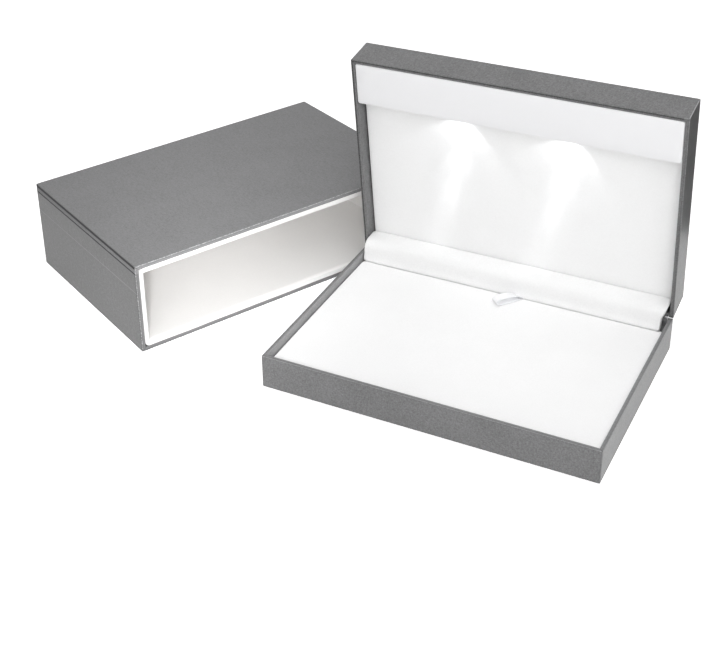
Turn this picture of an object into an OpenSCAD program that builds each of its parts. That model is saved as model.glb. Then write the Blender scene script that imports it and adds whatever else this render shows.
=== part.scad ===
// Lit presentation box: a shallow hinged case with a lamp bar in its lid, and the open-fronted
// sleeve that the closed case slides into. Millimetres. The origin is the middle of the case's
// underside, +X runs along the hinge, +Y towards the hinge and +Z up. The case stands open.

/* [Case] */
// Width of the case along its hinge
box_w = 236; // [190:1:290]
// Depth of the case from front to hinge
box_d = 163; // [134:1:200]
// Height of the tray up to the parting line
tray_h = 25.5; // [21:0.5:34]
// Height of the lid from the parting line
lid_h = 26; // [22:0.5:34]
// Angle at which the lid stands open
lid_angle = 82; // [0:1:90]
// Thickness of the wall boards
board_t = 2.1; // [1.7:0.1:3]
// Thickness of the covering paper
wrap_t = 0.35; // [0.25:0.05:0.5]
// How far the covering paper is turned down inside the walls
turn_in = 15; // [6:0.5:17]
// Width of the covering paper glued under the base
flange_w = 15; // [8:1:25]
// Radius of the covering paper over the corners
corner_r = 0.5; // [0.4:0.1:0.8]
// Gap between the two rims when the case is shut
parting_gap = 0.4; // [0.3:0.1:1]
// Thickness of the felt sheet under the base
felt_t = 0.6; // [0.4:0.1:1.2]
// How far the felt stays in from the edge
felt_inset = 2.5; // [1:0.5:6]

/* [Display pad] */
// Depth of the pad's edge below the rim
pad_recess = 6; // [5:0.5:9]
// Space between the pad and the walls
pad_gap = 0.4; // [0.3:0.1:1]
// Thickness of the board under the pad
pad_board_t = 2; // [1.5:0.1:3]
// Rise of the pad's middle above its edge
pad_crown = 0.8; // [0.3:0.1:2]
// Rounding of the pad's upper edges
pad_edge_r = 2; // [1:0.1:3]

/* [Ribbon pull] */
// Width of the ribbon
ribbon_w = 7; // [5:0.5:10]
// Thickness of the ribbon
ribbon_t = 0.3; // [0.2:0.05:0.4]

/* [Hinge] */
// Length of each hinge
hinge_len = 30; // [20:1:40]
// Distance of each hinge from the inside of the side wall
hinge_inset = 0.8; // [0.5:0.1:20]
// Radius of the hinge pin
pin_r = 0.7; // [0.6:0.05:0.8]
// Running clearance between the pin and the knuckles
pin_play = 0.05; // [0.02:0.01:0.08]
// Outer radius of the knuckles
knuckle_r = 1.6; // [1.5:0.05:1.8]
// Number of knuckles on each hinge
knuckles = 5; // [3:2:7]
// Gap between two knuckles
knuckle_gap = 0.3; // [0.2:0.05:0.6]
// Thickness of the hinge leaves
leaf_t = 0.6; // [0.5:0.05:0.8]
// How far each leaf runs down its wall
leaf_drop = 10; // [9:0.5:12]
// Radius of the rivets that hold the leaves
rivet_r = 1; // [0.8:0.1:1.2]
// Radius of the rivet heads
rivet_head_r = 2; // [1.6:0.1:2.2]

/* [Hinge roll] */
// Height of the roll's top above the hinge line with the lid upright
roll_top = 10.6; // [9.5:0.1:11.5]
// Radius of the roll's front shoulder
roll_shoulder_r = 5.4; // [4.5:0.1:5.8]
// Outer radius of the cove that the roll's skirt turns over
cove_r = 8; // [7.5:0.1:8.2]
// Gap between the cove and the roll's skirt
roll_gap = 0.3; // [0.25:0.05:0.5]
// Rounding of the roll's ends
roll_end_r = 3; // [1:0.5:4]
// Space between the roll's ends and the side walls
roll_end_gap = 0.5; // [0.3:0.1:1.5]

/* [Lid pad] */
// Depth of the lid pad's face behind the lid's rim
lid_pad_depth = 11.1; // [9:0.1:13]
// Thickness of the board behind the lid pad
lid_pad_board_t = 2; // [1.5:0.1:3]

/* [Lamp bar] */
// Height of the lamp bar's face
bar_h = 32.3; // [28:0.1:40]
// Wall thickness of the lamp housing
housing_t = 1.2; // [1:0.1:2]
// Thickness of the lamp bar's padded cover
bar_cover_t = 2; // [1.5:0.1:3]
// Rounding of the cover's corners
bar_corner_r = 1.5; // [0.5:0.1:3]
// Distance between the two lamps
lamp_spacing = 77.4; // [60:0.2:110]
// Radius of each lamp's lens
lamp_r = 2.5; // [1.5:0.1:3]
// Distance of the lamps behind the lid's rim
lamp_depth = 6; // [5:0.1:7]
// Length of the lamp board
board_len = 104; // [90:1:150]
// Diameter of the button cells
cell_d = 20; // [16:1:20]
// Thickness of the button cells
cell_t = 3.2; // [1.6:0.1:3.6]

/* [Sleeve] */
// Thickness of the sleeve's boards
sleeve_board_t = 2.4; // [1.8:0.1:3.5]
// Thickness of the sleeve's padded lining
liner_t = 3.6; // [2:0.1:5]
// Clearance on each side of the closed case in the sleeve
sleeve_fit = 0.8; // [0.5:0.1:2]
// Space above the closed case in the sleeve
head_room = 5; // [1:0.1:8]
// How far the closed case stands out of the sleeve
reveal = 12.7; // [0:0.1:25]
// Width of the top paper's turn-down over the side paper
top_fold = 5.5; // [3:0.5:12]
// Rounding of the lining's front edge
liner_edge_r = 1.2; // [0.5:0.1:1.5]
// Rounding of the lining's outer corners, seen from the opening
liner_corner_r = 2.4; // [0.5:0.1:3]
// How far the sleeve's far end reaches past the open lid's foot, along the sleeve's opening
sleeve_x = 38.3; // [-150:0.1:120]
// Space between the open lid's foot and the plane of the sleeve's opening (below 0, the foot
// stands in the mouth)
sleeve_y = -1.2; // [-2:0.1:100]
// Turn of the sleeve away from the case
sleeve_turn = 62.4; // [40:0.1:100]

/* [Hidden] */
$fn = 48;
e = 0.01; // small overlap that keeps cuts clean

wall_t = board_t + 2 * wrap_t;
hinge_y = box_d / 2;
hinge_z = tray_h;
inner_w = box_w - 2 * wall_t;
inner_d = box_d - 2 * wall_t;
half_gap = parting_gap / 2;

base_z = felt_t + wrap_t;
floor_z = base_z + board_t;
rim_z = tray_h - half_gap;

shoulder_u = roll_top - roll_shoulder_r;
shoulder_v = -3.3;
roll_reach = norm([shoulder_u, shoulder_v]) + roll_shoulder_r;
roll_low_v = shoulder_v - roll_shoulder_r;
skirt_r = cove_r + roll_gap;
cove_top_angle = 150;
roll_inner_angle = cove_top_angle - 2;
leaf_face = wall_t + leaf_t;

pad_back_y = hinge_y - roll_reach + 0.9;
pad_front_y = -box_d / 2 + wall_t + pad_gap;
pad_w = inner_w - 2 * pad_gap;
pad_d = pad_back_y - pad_front_y;
pad_mid_y = (pad_back_y + pad_front_y) / 2;
pad_z = tray_h - pad_recess;

hinge_out_x = inner_w / 2 - hinge_inset;
hinge_mid_x = hinge_out_x - hinge_len / 2;
knuckle_len = (hinge_len - (knuckles - 1) * knuckle_gap) / knuckles;
rivet_drop = 5.2;
rivet_head_t = 0.6;
rivet_xs = [-hinge_len / 4, hinge_len / 4];

bar_u0 = box_d - wall_t - bar_h;
bar_len = inner_w - 0.4;
bar_gap = 0.3;
lid_inner_v = lid_h - wall_t;
housing_u0 = bar_u0 + bar_gap;
housing_u1 = box_d - wall_t - bar_gap;
housing_v0 = half_gap + bar_cover_t;
housing_v1 = lid_inner_v - 0.2;
lamp_board_v = 9.2;
lamp_board_t = 1;
lamp_board_u0 = housing_u0 + housing_t + 3.4;
lamp_board_u1 = housing_u1 - housing_t - 0.4;
lamp_board_mid = (lamp_board_u0 + lamp_board_u1) / 2;
post_r = 2.2;
screw_r = 0.8;
post_xs = [-board_len / 2 + 4, board_len / 2 - 4];
cell_gap = 3;
cell_mid_u = lamp_board_u1 - 1 - cell_d / 2 - 0.6;

sleeve_wall = sleeve_board_t + 2 * wrap_t;
sleeve_w = box_w + 2 * (sleeve_fit + liner_t + sleeve_wall);
sleeve_h = tray_h + lid_h + head_room + 2 * (liner_t + sleeve_wall);
sleeve_d = box_d - reveal + liner_t + sleeve_wall;
sleeve_along = [cos(sleeve_turn), sin(sleeve_turn)];
sleeve_out = [sin(sleeve_turn), -cos(sleeve_turn)];
lid_foot = [-box_w / 2, hinge_y + lid_h * sin(lid_angle)];
sleeve_place = lid_foot - sleeve_out * sleeve_y - sleeve_along * (sleeve_w - sleeve_x);

paper = "dimgray";
cloth = "whitesmoke";
card = "tan";
steel = "silver";

// ---------- shared shapes ----------

// Rounded rectangle with true arcs, centred
module rounded_rect(w, d, r) {
  square([w - 2 * r, d], center = true);
  square([w, d - 2 * r], center = true);
  for (x = [-1, 1], y = [-1, 1])
    translate([x * (w / 2 - r), y * (d / 2 - r)]) circle(r);
}

// Wall board with mitred ends: its outer face lies along y = 0 and it is t thick towards +y
module mitred_board(len, t, h) {
  linear_extrude(h)
    polygon([[-len / 2, 0], [len / 2, 0], [len / 2 - t, t], [-len / 2 + t, t]]);
}

// Places a wall on side 0 (front), 1 (right), 2 (back) or 3 (left) of a w by d frame
module on_side(side, w, d) {
  reach = (side % 2 == 0) ? d / 2 : w / 2;
  rotate(90 * side) translate([0, -reach, 0]) children();
}

// Paper cover of a box of boards: outside walls, rim, turn-in and a flange over the base.
// It stands on z = 0 with its flange there, and its open side faces up.
module paper_cover(w, d, h, t, board, inside, flange, r) {
  difference() {
    linear_extrude(h) rounded_rect(w, d, r);
    translate([0, 0, -e]) linear_extrude(t + 2 * e)
      square([w - 2 * flange, d - 2 * flange], center = true);
    translate([0, 0, t]) linear_extrude(h - 2 * t)
      difference() {
        square([w - 2 * t, d - 2 * t], center = true);
        square([w - 2 * (t + board), d - 2 * (t + board)], center = true);
      }
    translate([0, 0, t]) linear_extrude(h + e)
      square([w - 2 * (2 * t + board), d - 2 * (2 * t + board)], center = true);
    translate([0, 0, t]) linear_extrude(h - t - inside)
      square([w - 2 * t, d - 2 * t], center = true);
  }
}

// A padded panel, centred in x and y on z = 0: sides drawn in at the foot and rolled over at the
// top edge, with a crown. nx by ny quads on the top.
function pad_edge(s, r) = (s >= r) ? r : sqrt(max(0, r * r - (r - s) * (r - s)));
function pad_height(x, y, w, d, h, crown, r) =
  let (s = min(w / 2 - abs(x), d / 2 - abs(y)), p = 2 * x / w, q = 2 * y / d)
    h - r + pad_edge(s, r) + crown * (1 - p * p) * (1 - q * q);
function pad_ticks(n, half, r) = [
  for (i = [0:n]) (i == 0) ? -half : (i == n) ? half :
    (i == 1) ? -half + 0.3 * r : (i == n - 1) ? half - 0.3 * r :
    -half + r + (i - 2) * (2 * half - 2 * r) / (n - 4)
];
module padded_panel(w, d, h, crown, r, nx = 18, ny = 14, draw = 0.3) {
  xs = pad_ticks(nx, w / 2, r);
  ys = pad_ticks(ny, d / 2, r);
  row = nx + 1;
  top = [for (y = ys, x = xs) [x, y, pad_height(x, y, w, d, h, crown, r)]];
  rim = concat(
    [for (i = [0:nx - 1]) i],
    [for (j = [0:ny - 1]) j * row + nx],
    [for (i = [0:nx - 1]) ny * row + nx - i],
    [for (j = [0:ny - 1]) (ny - j) * row]
  );
  n = len(rim);
  foot = [for (k = rim) [top[k][0] * (1 - 2 * draw / w), top[k][1] * (1 - 2 * draw / d), 0]];
  base = len(top);
  middle = base + n;
  faces = concat(
    [for (j = [0:ny - 1], i = [0:nx - 1]) [j * row + i, (j + 1) * row + i, (j + 1) * row + i + 1]],
    [for (j = [0:ny - 1], i = [0:nx - 1]) [j * row + i, (j + 1) * row + i + 1, j * row + i + 1]],
    [for (k = [0:n - 1]) [rim[k], rim[(k + 1) % n], base + (k + 1) % n]],
    [for (k = [0:n - 1]) [rim[k], base + (k + 1) % n, base + k]],
    [for (k = [0:n - 1]) [middle, base + k, base + (k + 1) % n]]
  );
  polyhedron(points = concat(top, foot, [[0, 0, 0]]), faces = faces, convexity = 4);
}

// Puts what is modelled on the shut lid where the open lid carries it. The child's origin is the
// hinge line: x along it, -y towards the lid's front edge and z up out of the parting plane.
module on_lid() {
  translate([0, hinge_y, hinge_z]) rotate([-lid_angle, 0, 0]) children();
}

// Puts what is modelled in the sleeve's own corner frame where the sleeve stands
module on_sleeve() {
  translate([sleeve_place[0], sleeve_place[1], 0]) rotate(sleeve_turn) children();
}

// ---------- hinge ----------

// Room for the knuckles and for one leaf's strap through a back wall, about the hinge line.
// up is 1 for the lid's wall and -1 for the tray's.
module hinge_notch(up) {
  for (side = [-1, 1]) translate([side * hinge_mid_x, 0, 0]) {
    rotate([0, 90, 0]) cylinder(h = hinge_len + 0.6, r = knuckle_r + 0.3, center = true);
    translate([-hinge_len / 2 - 0.3, -wall_t - 1, (up > 0) ? -1 : -half_gap - leaf_t - 0.1])
      cube([hinge_len + 0.6, wall_t + 1, half_gap + leaf_t + 1.1]);
  }
}

module rivet_holes(up) {
  for (side = [-1, 1], x = rivet_xs)
    translate([side * hinge_mid_x + x, -wall_t - 1, up * rivet_drop])
      rotate([-90, 0, 0]) cylinder(h = wall_t + 1 - wrap_t, r = rivet_r);
}

// One leaf about the hinge line: knuckles, a strap over the rim and a plate down the inner face.
// The leaf has every second knuckle, from number first on.
module hinge_leaf(up, first) {
  strap_z = (up > 0) ? half_gap - 0.1 : -half_gap - leaf_t + 0.1;
  plate_z = (up > 0) ? strap_z : strap_z + leaf_t - leaf_drop;
  difference() {
    union() {
      for (k = [first:2:knuckles - 1]) translate([knuckle_x(k), 0, 0]) {
        rotate([0, 90, 0]) cylinder(h = knuckle_len, r = knuckle_r, center = true);
        translate([-knuckle_len / 2, -leaf_face, strap_z])
          cube([knuckle_len, leaf_face - pin_r, leaf_t]);
      }
      translate([-hinge_len / 2, -leaf_face, strap_z])
        cube([hinge_len, leaf_face - knuckle_r - 0.3, leaf_t]);
      translate([-hinge_len / 2, -leaf_face, plate_z]) cube([hinge_len, leaf_t, leaf_drop]);
    }
    rotate([0, 90, 0]) cylinder(h = hinge_len + 2, r = pin_r + pin_play, center = true);
    for (x = rivet_xs) translate([x, 0, up * rivet_drop])
      rotate([90, 0, 0]) cylinder(h = leaf_face + 1, r = rivet_r);
  }
}

function knuckle_x(k) = -hinge_len / 2 + knuckle_len / 2 + k * (knuckle_len + knuckle_gap);

// Rivets of both leaves of one half: a domed head inside and a shank through leaf and board
module leaf_rivets(up) {
  for (side = [-1, 1], x = rivet_xs)
    translate([side * hinge_mid_x + x, -leaf_face, up * rivet_drop]) rotate([90, 0, 0]) {
      cylinder(h = rivet_head_t, r = rivet_head_r);
      translate([0, 0, -(leaf_face - wrap_t)]) cylinder(h = leaf_face - wrap_t, r = rivet_r);
    }
}

// ---------- tray ----------

module tray_wall(side) {
  len = ((side % 2 == 0) ? box_w : box_d) - 2 * wrap_t;
  translate([0, 0, base_z])
    on_side(side, box_w - 2 * wrap_t, box_d - 2 * wrap_t)
      mitred_board(len, board_t, rim_z - wrap_t - base_z);
}

module tray_base_board() {
  color(card) translate([0, 0, base_z]) linear_extrude(board_t)
    square([box_w - 2 * (wrap_t + board_t), box_d - 2 * (wrap_t + board_t)], center = true);
}

module tray_front_wall() {
  color(card) difference() {
    tray_wall(0);
    magnet_block(magnet_play);
  }
}

module tray_right_wall() {
  color(card) tray_wall(1);
}

module tray_back_wall() {
  color(card) difference() {
    tray_wall(2);
    translate([0, hinge_y, hinge_z]) {
      hinge_notch(-1);
      rivet_holes(-1);
    }
  }
}

module tray_left_wall() {
  color(card) tray_wall(3);
}

module tray_wrap() {
  color(paper) difference() {
    translate([0, 0, felt_t])
      paper_cover(box_w, box_d, rim_z - felt_t, wrap_t, board_t, turn_in, flange_w, corner_r);
    translate([0, hinge_y, hinge_z]) {
      hinge_notch(-1);
      rivet_holes(-1);
    }
  }
}

module tray_felt() {
  color("darkslategray") linear_extrude(felt_t)
    rounded_rect(box_w - 2 * felt_inset, box_d - 2 * felt_inset, 2);
}

module display_pad_board() {
  color(card) translate([0, pad_mid_y, floor_z]) linear_extrude(pad_board_t)
    square([pad_w - 1, pad_d - 1], center = true);
}

module display_pad() {
  foot_z = floor_z + pad_board_t;
  color(cloth) translate([0, pad_mid_y, foot_z])
    padded_panel(pad_w, pad_d, pad_z - foot_z, pad_crown, pad_edge_r, nx = 24, ny = 18);
}

// The ribbon's middle line, from the tail behind the pad, forward over it, and back above itself.
// Each entry is [x, y from the pad's back edge, z from the pad's edge, turn of the width in plan].
ribbon_route = [
  [9.0, 0.45, -11, 0], [9.0, 0.45, -2.2, 0], [8.9, 0.05, -0.8, 2], [8.5, -0.9, 0.2, 8],
  [8.0, -2.0, 0.45, 16], [6.6, -4.6, 0.6, 30], [4.0, -8.4, 0.75, 38], [1.6, -11.4, 1.0, 40],
  [0.3, -13.2, 1.6, 41], [-0.1, -13.8, 2.6, 41], [0.5, -13.0, 3.7, 41], [2.2, -10.9, 4.3, 40],
  [5.2, -7.4, 4.3, 36], [8.0, -4.2, 3.6, 28], [9.6, -1.9, 2.2, 14], [10.2, -0.6, 0.7, 5],
  [10.4, 0.45, -0.7, 2], [10.4, 1.1, -2.2, 0], [10.4, 1.1, -11, 0]
];

// One polyhedron along the route: a flat strip whose width turns with each entry
module ribbon_strip(route, w, t) {
  n = len(route);
  along = [for (i = [0:n - 1]) let (a = route[max(0, i - 1)], b = route[min(n - 1, i + 1)])
    [b[0] - a[0], b[1] - a[1], b[2] - a[2]]];
  pts = [for (i = [0:n - 1]) let (
      p = [route[i][0], route[i][1], route[i][2]],
      side = [cos(route[i][3]), -sin(route[i][3]), 0],
      raw = cross(side, along[i]),
      up = raw / norm(raw)
    ) each [
      p - side * w / 2 - up * t / 2, p + side * w / 2 - up * t / 2,
      p + side * w / 2 + up * t / 2, p - side * w / 2 + up * t / 2
    ]];
  faces = concat(
    [[0, 1, 2], [0, 2, 3]],
    [for (i = [0:n - 2], k = [0:3]) [4 * i + k, 4 * (i + 1) + k, 4 * (i + 1) + (k + 1) % 4]],
    [for (i = [0:n - 2], k = [0:3]) [4 * i + k, 4 * (i + 1) + (k + 1) % 4, 4 * i + (k + 1) % 4]],
    [[4 * n - 4, 4 * n - 2, 4 * n - 3], [4 * n - 4, 4 * n - 1, 4 * n - 2]]
  );
  polyhedron(points = pts, faces = faces, convexity = 6);
}

module ribbon_pull() {
  color("white") translate([0, pad_back_y, pad_z]) ribbon_strip(ribbon_route, ribbon_w, ribbon_t);
}

// Soft cove fixed in the tray: a sector about the hinge line that the roll's skirt slides over
module tray_back_cove() {
  steps = 10;
  low_angle = 252;
  color(cloth) translate([0, hinge_y, hinge_z]) difference() {
    rotate([90, 0, 90]) linear_extrude(inner_w - 2 * roll_end_gap, center = true)
      difference() {
        circle(cove_r);
        polygon([[0, 0], 3 * cove_r * [cos(low_angle), sin(low_angle)], [3 * cove_r, -3 * cove_r],
          [3 * cove_r, 3 * cove_r], [-cove_r, 3 * cove_r],
          3 * cove_r * [cos(cove_top_angle), sin(cove_top_angle)]]);
        translate([-wall_t - 0.05, -2 * cove_r]) square([2 * cove_r, 4 * cove_r]);
      }
    for (side = [-1, 1]) translate([side * hinge_mid_x, -leaf_face - rivet_head_t - 0.2, 0])
      translate([-hinge_len / 2 - 0.3, 0, -leaf_drop - 0.5]) cube([hinge_len + 0.6, 5, 30]);
  }
}

// Padded strip on the tray's floor below the roll, behind the pad and its ribbon
module tray_back_ledge() {
  ledge_top = hinge_z + roll_low_v - 0.5;
  front = pad_back_y + 1.6;
  back = hinge_y - leaf_face - rivet_head_t - 0.3;
  r = 1.5;
  color(cloth) translate([0, 0, floor_z]) rotate([90, 0, 90])
    linear_extrude(pad_w, center = true) {
      translate([front, 0]) square([back - front, ledge_top - floor_z - r]);
      translate([front + r, 0]) square([back - front - 2 * r, ledge_top - floor_z]);
      translate([front + r, ledge_top - floor_z - r]) circle(r);
      translate([back - r, ledge_top - floor_z - r]) circle(r);
    }
}

// Magnet that switches the lamps off when the lid is shut, let into the front wall's inner side
magnet_play = 0.1;
magnet_t = 1.2;
module magnet_block(play) {
  translate([-5 - play, -box_d / 2 + wrap_t + board_t - magnet_t - play, tray_h - 9 - play])
    cube([10 + 2 * play, magnet_t + play + (play > 0 ? e : 0), 5 + 2 * play]);
}

module lamp_magnet() {
  color(steel) magnet_block(0);
}

module hinge_tray_leaf(side) {
  color(steel) translate([side * hinge_mid_x, hinge_y, hinge_z]) hinge_leaf(-1, 0);
}

module hinge_tray_leaf_left() {
  hinge_tray_leaf(-1);
}

module hinge_tray_leaf_right() {
  hinge_tray_leaf(1);
}

module tray_leaf_rivets() {
  color(steel) translate([0, hinge_y, hinge_z]) leaf_rivets(-1);
}

module hinge_pins() {
  color(steel) for (side = [-1, 1]) translate([side * hinge_mid_x, hinge_y, hinge_z])
    rotate([0, 90, 0]) cylinder(h = hinge_len, r = pin_r, center = true);
}

// ---------- lid ----------

module lid_wall(side) {
  len = ((side % 2 == 0) ? box_w : box_d) - 2 * wrap_t;
  translate([0, -box_d / 2, half_gap + wrap_t])
    on_side(side, box_w - 2 * wrap_t, box_d - 2 * wrap_t)
      mitred_board(len, board_t, lid_h - half_gap - 2 * wrap_t);
}

module lid_panel_board() {
  color(card) on_lid() translate([0, -box_d / 2, lid_h - wrap_t - board_t]) linear_extrude(board_t)
    square([box_w - 2 * (wrap_t + board_t), box_d - 2 * (wrap_t + board_t)], center = true);
}

module lid_front_wall() {
  color(card) on_lid() lid_wall(0);
}

module lid_right_wall() {
  color(card) on_lid() lid_wall(1);
}

module lid_back_wall() {
  color(card) on_lid() difference() {
    lid_wall(2);
    hinge_notch(1);
    rivet_holes(1);
  }
}

module lid_left_wall() {
  color(card) on_lid() lid_wall(3);
}

// The lid's paper covers its panel too, so its flange is a full sheet
module lid_wrap() {
  h = lid_h - half_gap;
  color(paper) on_lid() difference() {
    union() {
      translate([0, -box_d / 2, lid_h]) mirror([0, 0, 1])
        paper_cover(box_w, box_d, h, wrap_t, board_t, turn_in, flange_w, corner_r);
      translate([0, -box_d / 2, lid_h - wrap_t]) linear_extrude(wrap_t)
        square([box_w - flange_w, box_d - flange_w], center = true);
    }
    hinge_notch(1);
    rivet_holes(1);
  }
}

lid_pad_foot_v = lid_h - wrap_t - board_t - lid_pad_board_t;
lid_pad_u0 = wall_t + pad_gap;
lid_pad_u1 = bar_u0 - 0.1;

module lid_pad_board() {
  mid = (lid_pad_u0 + lid_pad_u1) / 2;
  color(card) on_lid() translate([0, -mid, lid_pad_foot_v]) linear_extrude(lid_pad_board_t)
    square([pad_w - 1, lid_pad_u1 - lid_pad_u0 - 1], center = true);
}

module lid_pad() {
  mid = (lid_pad_u0 + lid_pad_u1) / 2;
  color(cloth) on_lid() translate([0, -mid, lid_pad_foot_v]) mirror([0, 0, 1])
    padded_panel(pad_w, lid_pad_u1 - lid_pad_u0, lid_pad_foot_v - lid_pad_depth, 0.2, 1.5,
      nx = 20, ny = 14);
}

// Outline of the hinge roll about the hinge line in the shut lid: u forward, v up. Its outer and
// inner sides are two chains of as many points, from the top down. inset draws the outer side in,
// for the rounded ends.
roll_back_u = leaf_face + 0.2;
roll_top_v = lid_pad_depth - 0.3;
roll_arc_n = 10;
function roll_front_u(v) = roll_top - 1.2 * (v - shoulder_v) / (roll_top_v - shoulder_v);
function roll_outer(inset) = let (r = roll_shoulder_r - inset, high = roll_inner_angle - 180)
  concat(
    [[roll_front_u(roll_top_v) - inset, roll_top_v]],
    [[roll_front_u(0.8 * roll_top_v) - inset, 0.8 * roll_top_v]],
    [[roll_front_u(skirt_r * sin(-high)) - inset, skirt_r * sin(-high)]],
    [for (k = [0:roll_arc_n]) let (a = -105 * k / roll_arc_n)
      [shoulder_u + r * cos(a), shoulder_v + r * sin(a)]]
  );
function roll_inner() = let (high = 180 - roll_inner_angle, low = -acos((leaf_face + 0.1) / skirt_r))
  concat(
    [[roll_back_u, roll_top_v], [roll_back_u, roll_back_u * tan(high)]],
    [for (k = [0:roll_arc_n + 1]) let (a = high + (low - high) * k / (roll_arc_n + 1))
      skirt_r * [cos(a), sin(a)]]
  );

module hinge_roll() {
  len = inner_w - 2 * roll_end_gap;
  ends = [[0, 0.9], [roll_end_r * 0.12, 0.45], [roll_end_r * 0.4, 0.12], [roll_end_r, 0]];
  stations = concat(
    [for (s = ends) [-len / 2 + s[0], s[1]]],
    [for (k = [len(ends) - 1:-1:0]) [len / 2 - ends[k][0], ends[k][1]]]
  );
  inner = roll_inner();
  half = len(inner);
  m = 2 * half;
  rings = [for (s = stations) each concat(
    [for (p = roll_outer(s[1])) [s[0], -p[0], p[1]]],
    [for (k = [half - 1:-1:0]) [s[0], -inner[k][0], inner[k][1]]]
  )];
  n = len(stations);
  last = (n - 1) * m;
  faces = concat(
    [for (k = [0:half - 2]) [k, k + 1, m - 2 - k]],
    [for (k = [0:half - 2]) [k, m - 2 - k, m - 1 - k]],
    [for (i = [0:n - 2], k = [0:m - 1]) [i * m + k, (i + 1) * m + k, (i + 1) * m + (k + 1) % m]],
    [for (i = [0:n - 2], k = [0:m - 1]) [i * m + k, (i + 1) * m + (k + 1) % m, i * m + (k + 1) % m]],
    [for (k = [0:half - 2]) [last + k, last + m - 2 - k, last + k + 1]],
    [for (k = [0:half - 2]) [last + k, last + m - 1 - k, last + m - 2 - k]]
  );
  color(cloth) on_lid() difference() {
    polyhedron(points = rings, faces = faces, convexity = 6);
    for (side = [-1, 1], x = rivet_xs) translate([side * hinge_mid_x + x, -leaf_face - 1.2, rivet_drop])
      rotate([-90, 0, 0]) cylinder(h = 2, r = rivet_head_r + 0.4);
  }
}

module hinge_lid_leaf(side) {
  color(steel) on_lid() translate([side * hinge_mid_x, 0, 0]) hinge_leaf(1, 1);
}

module hinge_lid_leaf_left() {
  hinge_lid_leaf(-1);
}

module hinge_lid_leaf_right() {
  hinge_lid_leaf(1);
}

module lid_leaf_rivets() {
  color(steel) on_lid() leaf_rivets(1);
}

// ---------- lamp bar ----------

// Moulded channel behind the cover: open towards the rim, posts for the board, two lamp holes
module lamp_housing() {
  w = bar_len - 0.4;
  d = housing_u1 - housing_u0;
  h = housing_v1 - housing_v0;
  color("white") on_lid() translate([0, -(housing_u0 + housing_u1) / 2, 0]) {
    difference() {
      translate([0, 0, housing_v0]) linear_extrude(h) rounded_rect(w, d, 1);
      translate([0, 0, housing_v0 - e]) linear_extrude(h - housing_t)
        square([w - 2 * housing_t, d - 2 * housing_t], center = true);
      for (side = [-1, 1]) translate([side * lamp_spacing / 2, 0, lamp_depth])
        rotate([-90, 0, 0]) cylinder(h = d, r = lamp_r + 0.05);
    }
    for (x = post_xs, u = [lamp_board_u0 + 3, lamp_board_u1 - 3])
      translate([x, (housing_u0 + housing_u1) / 2 - u, lamp_board_v + lamp_board_t]) difference() {
        cylinder(h = housing_v1 - housing_t - lamp_board_v - lamp_board_t + e, r = post_r);
        translate([0, 0, -e]) cylinder(h = 5, r = screw_r);
      }
  }
}

module lamp_bar_cover() {
  mid = bar_u0 + bar_h / 2;
  color(cloth) on_lid() translate([0, -mid, half_gap]) linear_extrude(bar_cover_t)
    rounded_rect(bar_len, bar_h - 0.4, bar_corner_r);
}

module lamp_board() {
  color("seagreen") on_lid() translate([0, -lamp_board_mid, lamp_board_v]) difference() {
    linear_extrude(lamp_board_t)
      rounded_rect(board_len, lamp_board_u1 - lamp_board_u0, 1);
    for (x = post_xs, y = [-1, 1])
      translate([x, y * ((lamp_board_u1 - lamp_board_u0) / 2 - 3), -e])
        cylinder(h = lamp_board_t + 2 * e, r = screw_r + 0.2);
  }
}

// One lamp: a domed lens with a flange behind the housing wall, and two legs bent to the board
module lamp(side) {
  flange_u = housing_u0 + housing_t + 0.1;
  leg_v = lamp_board_v - lamp_depth;
  color("aliceblue") on_lid() translate([side * lamp_spacing / 2, 0, lamp_depth]) {
    translate([0, -flange_u, 0]) rotate([-90, 0, 0]) {
      cylinder(h = 2.2, r = lamp_r);
      translate([0, 0, 2.2]) sphere(lamp_r);
    }
    translate([0, -flange_u, 0]) rotate([90, 0, 0]) cylinder(h = 1, r = lamp_r + 0.4);
    for (x = [-1.27, 1.27]) {
      translate([x - 0.25, -lamp_board_u0 - 2.25, -0.25])
        cube([0.5, lamp_board_u0 + 2.25 - flange_u, 0.5]);
      translate([x - 0.25, -lamp_board_u0 - 2.25, -0.25]) cube([0.5, 0.5, leg_v + 0.25]);
    }
  }
}

module lamp_left() {
  lamp(-1);
}

module lamp_right() {
  lamp(1);
}

module at_cells() {
  for (side = [-1, 1]) translate([side * (cell_d + cell_gap) / 2, -cell_mid_u, 0]) children();
}

// Tray of two round pockets for the cells, on the board
module cell_holder() {
  floor_t = 0.8;
  depth = 5.4;
  color("black") on_lid() difference() {
    translate([0, -cell_mid_u, lamp_board_v - depth]) linear_extrude(depth)
      rounded_rect(2 * cell_d + cell_gap + 3, cell_d + 1.2, 0.5);
    at_cells() translate([0, 0, lamp_board_v - depth - e])
      cylinder(h = depth - floor_t + e, r = cell_d / 2 + 0.2);
  }
}

module button_cells() {
  color(steel) on_lid() at_cells() translate([0, 0, lamp_board_v - 0.8 - cell_t])
    cylinder(h = cell_t, r = cell_d / 2);
}

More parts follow.
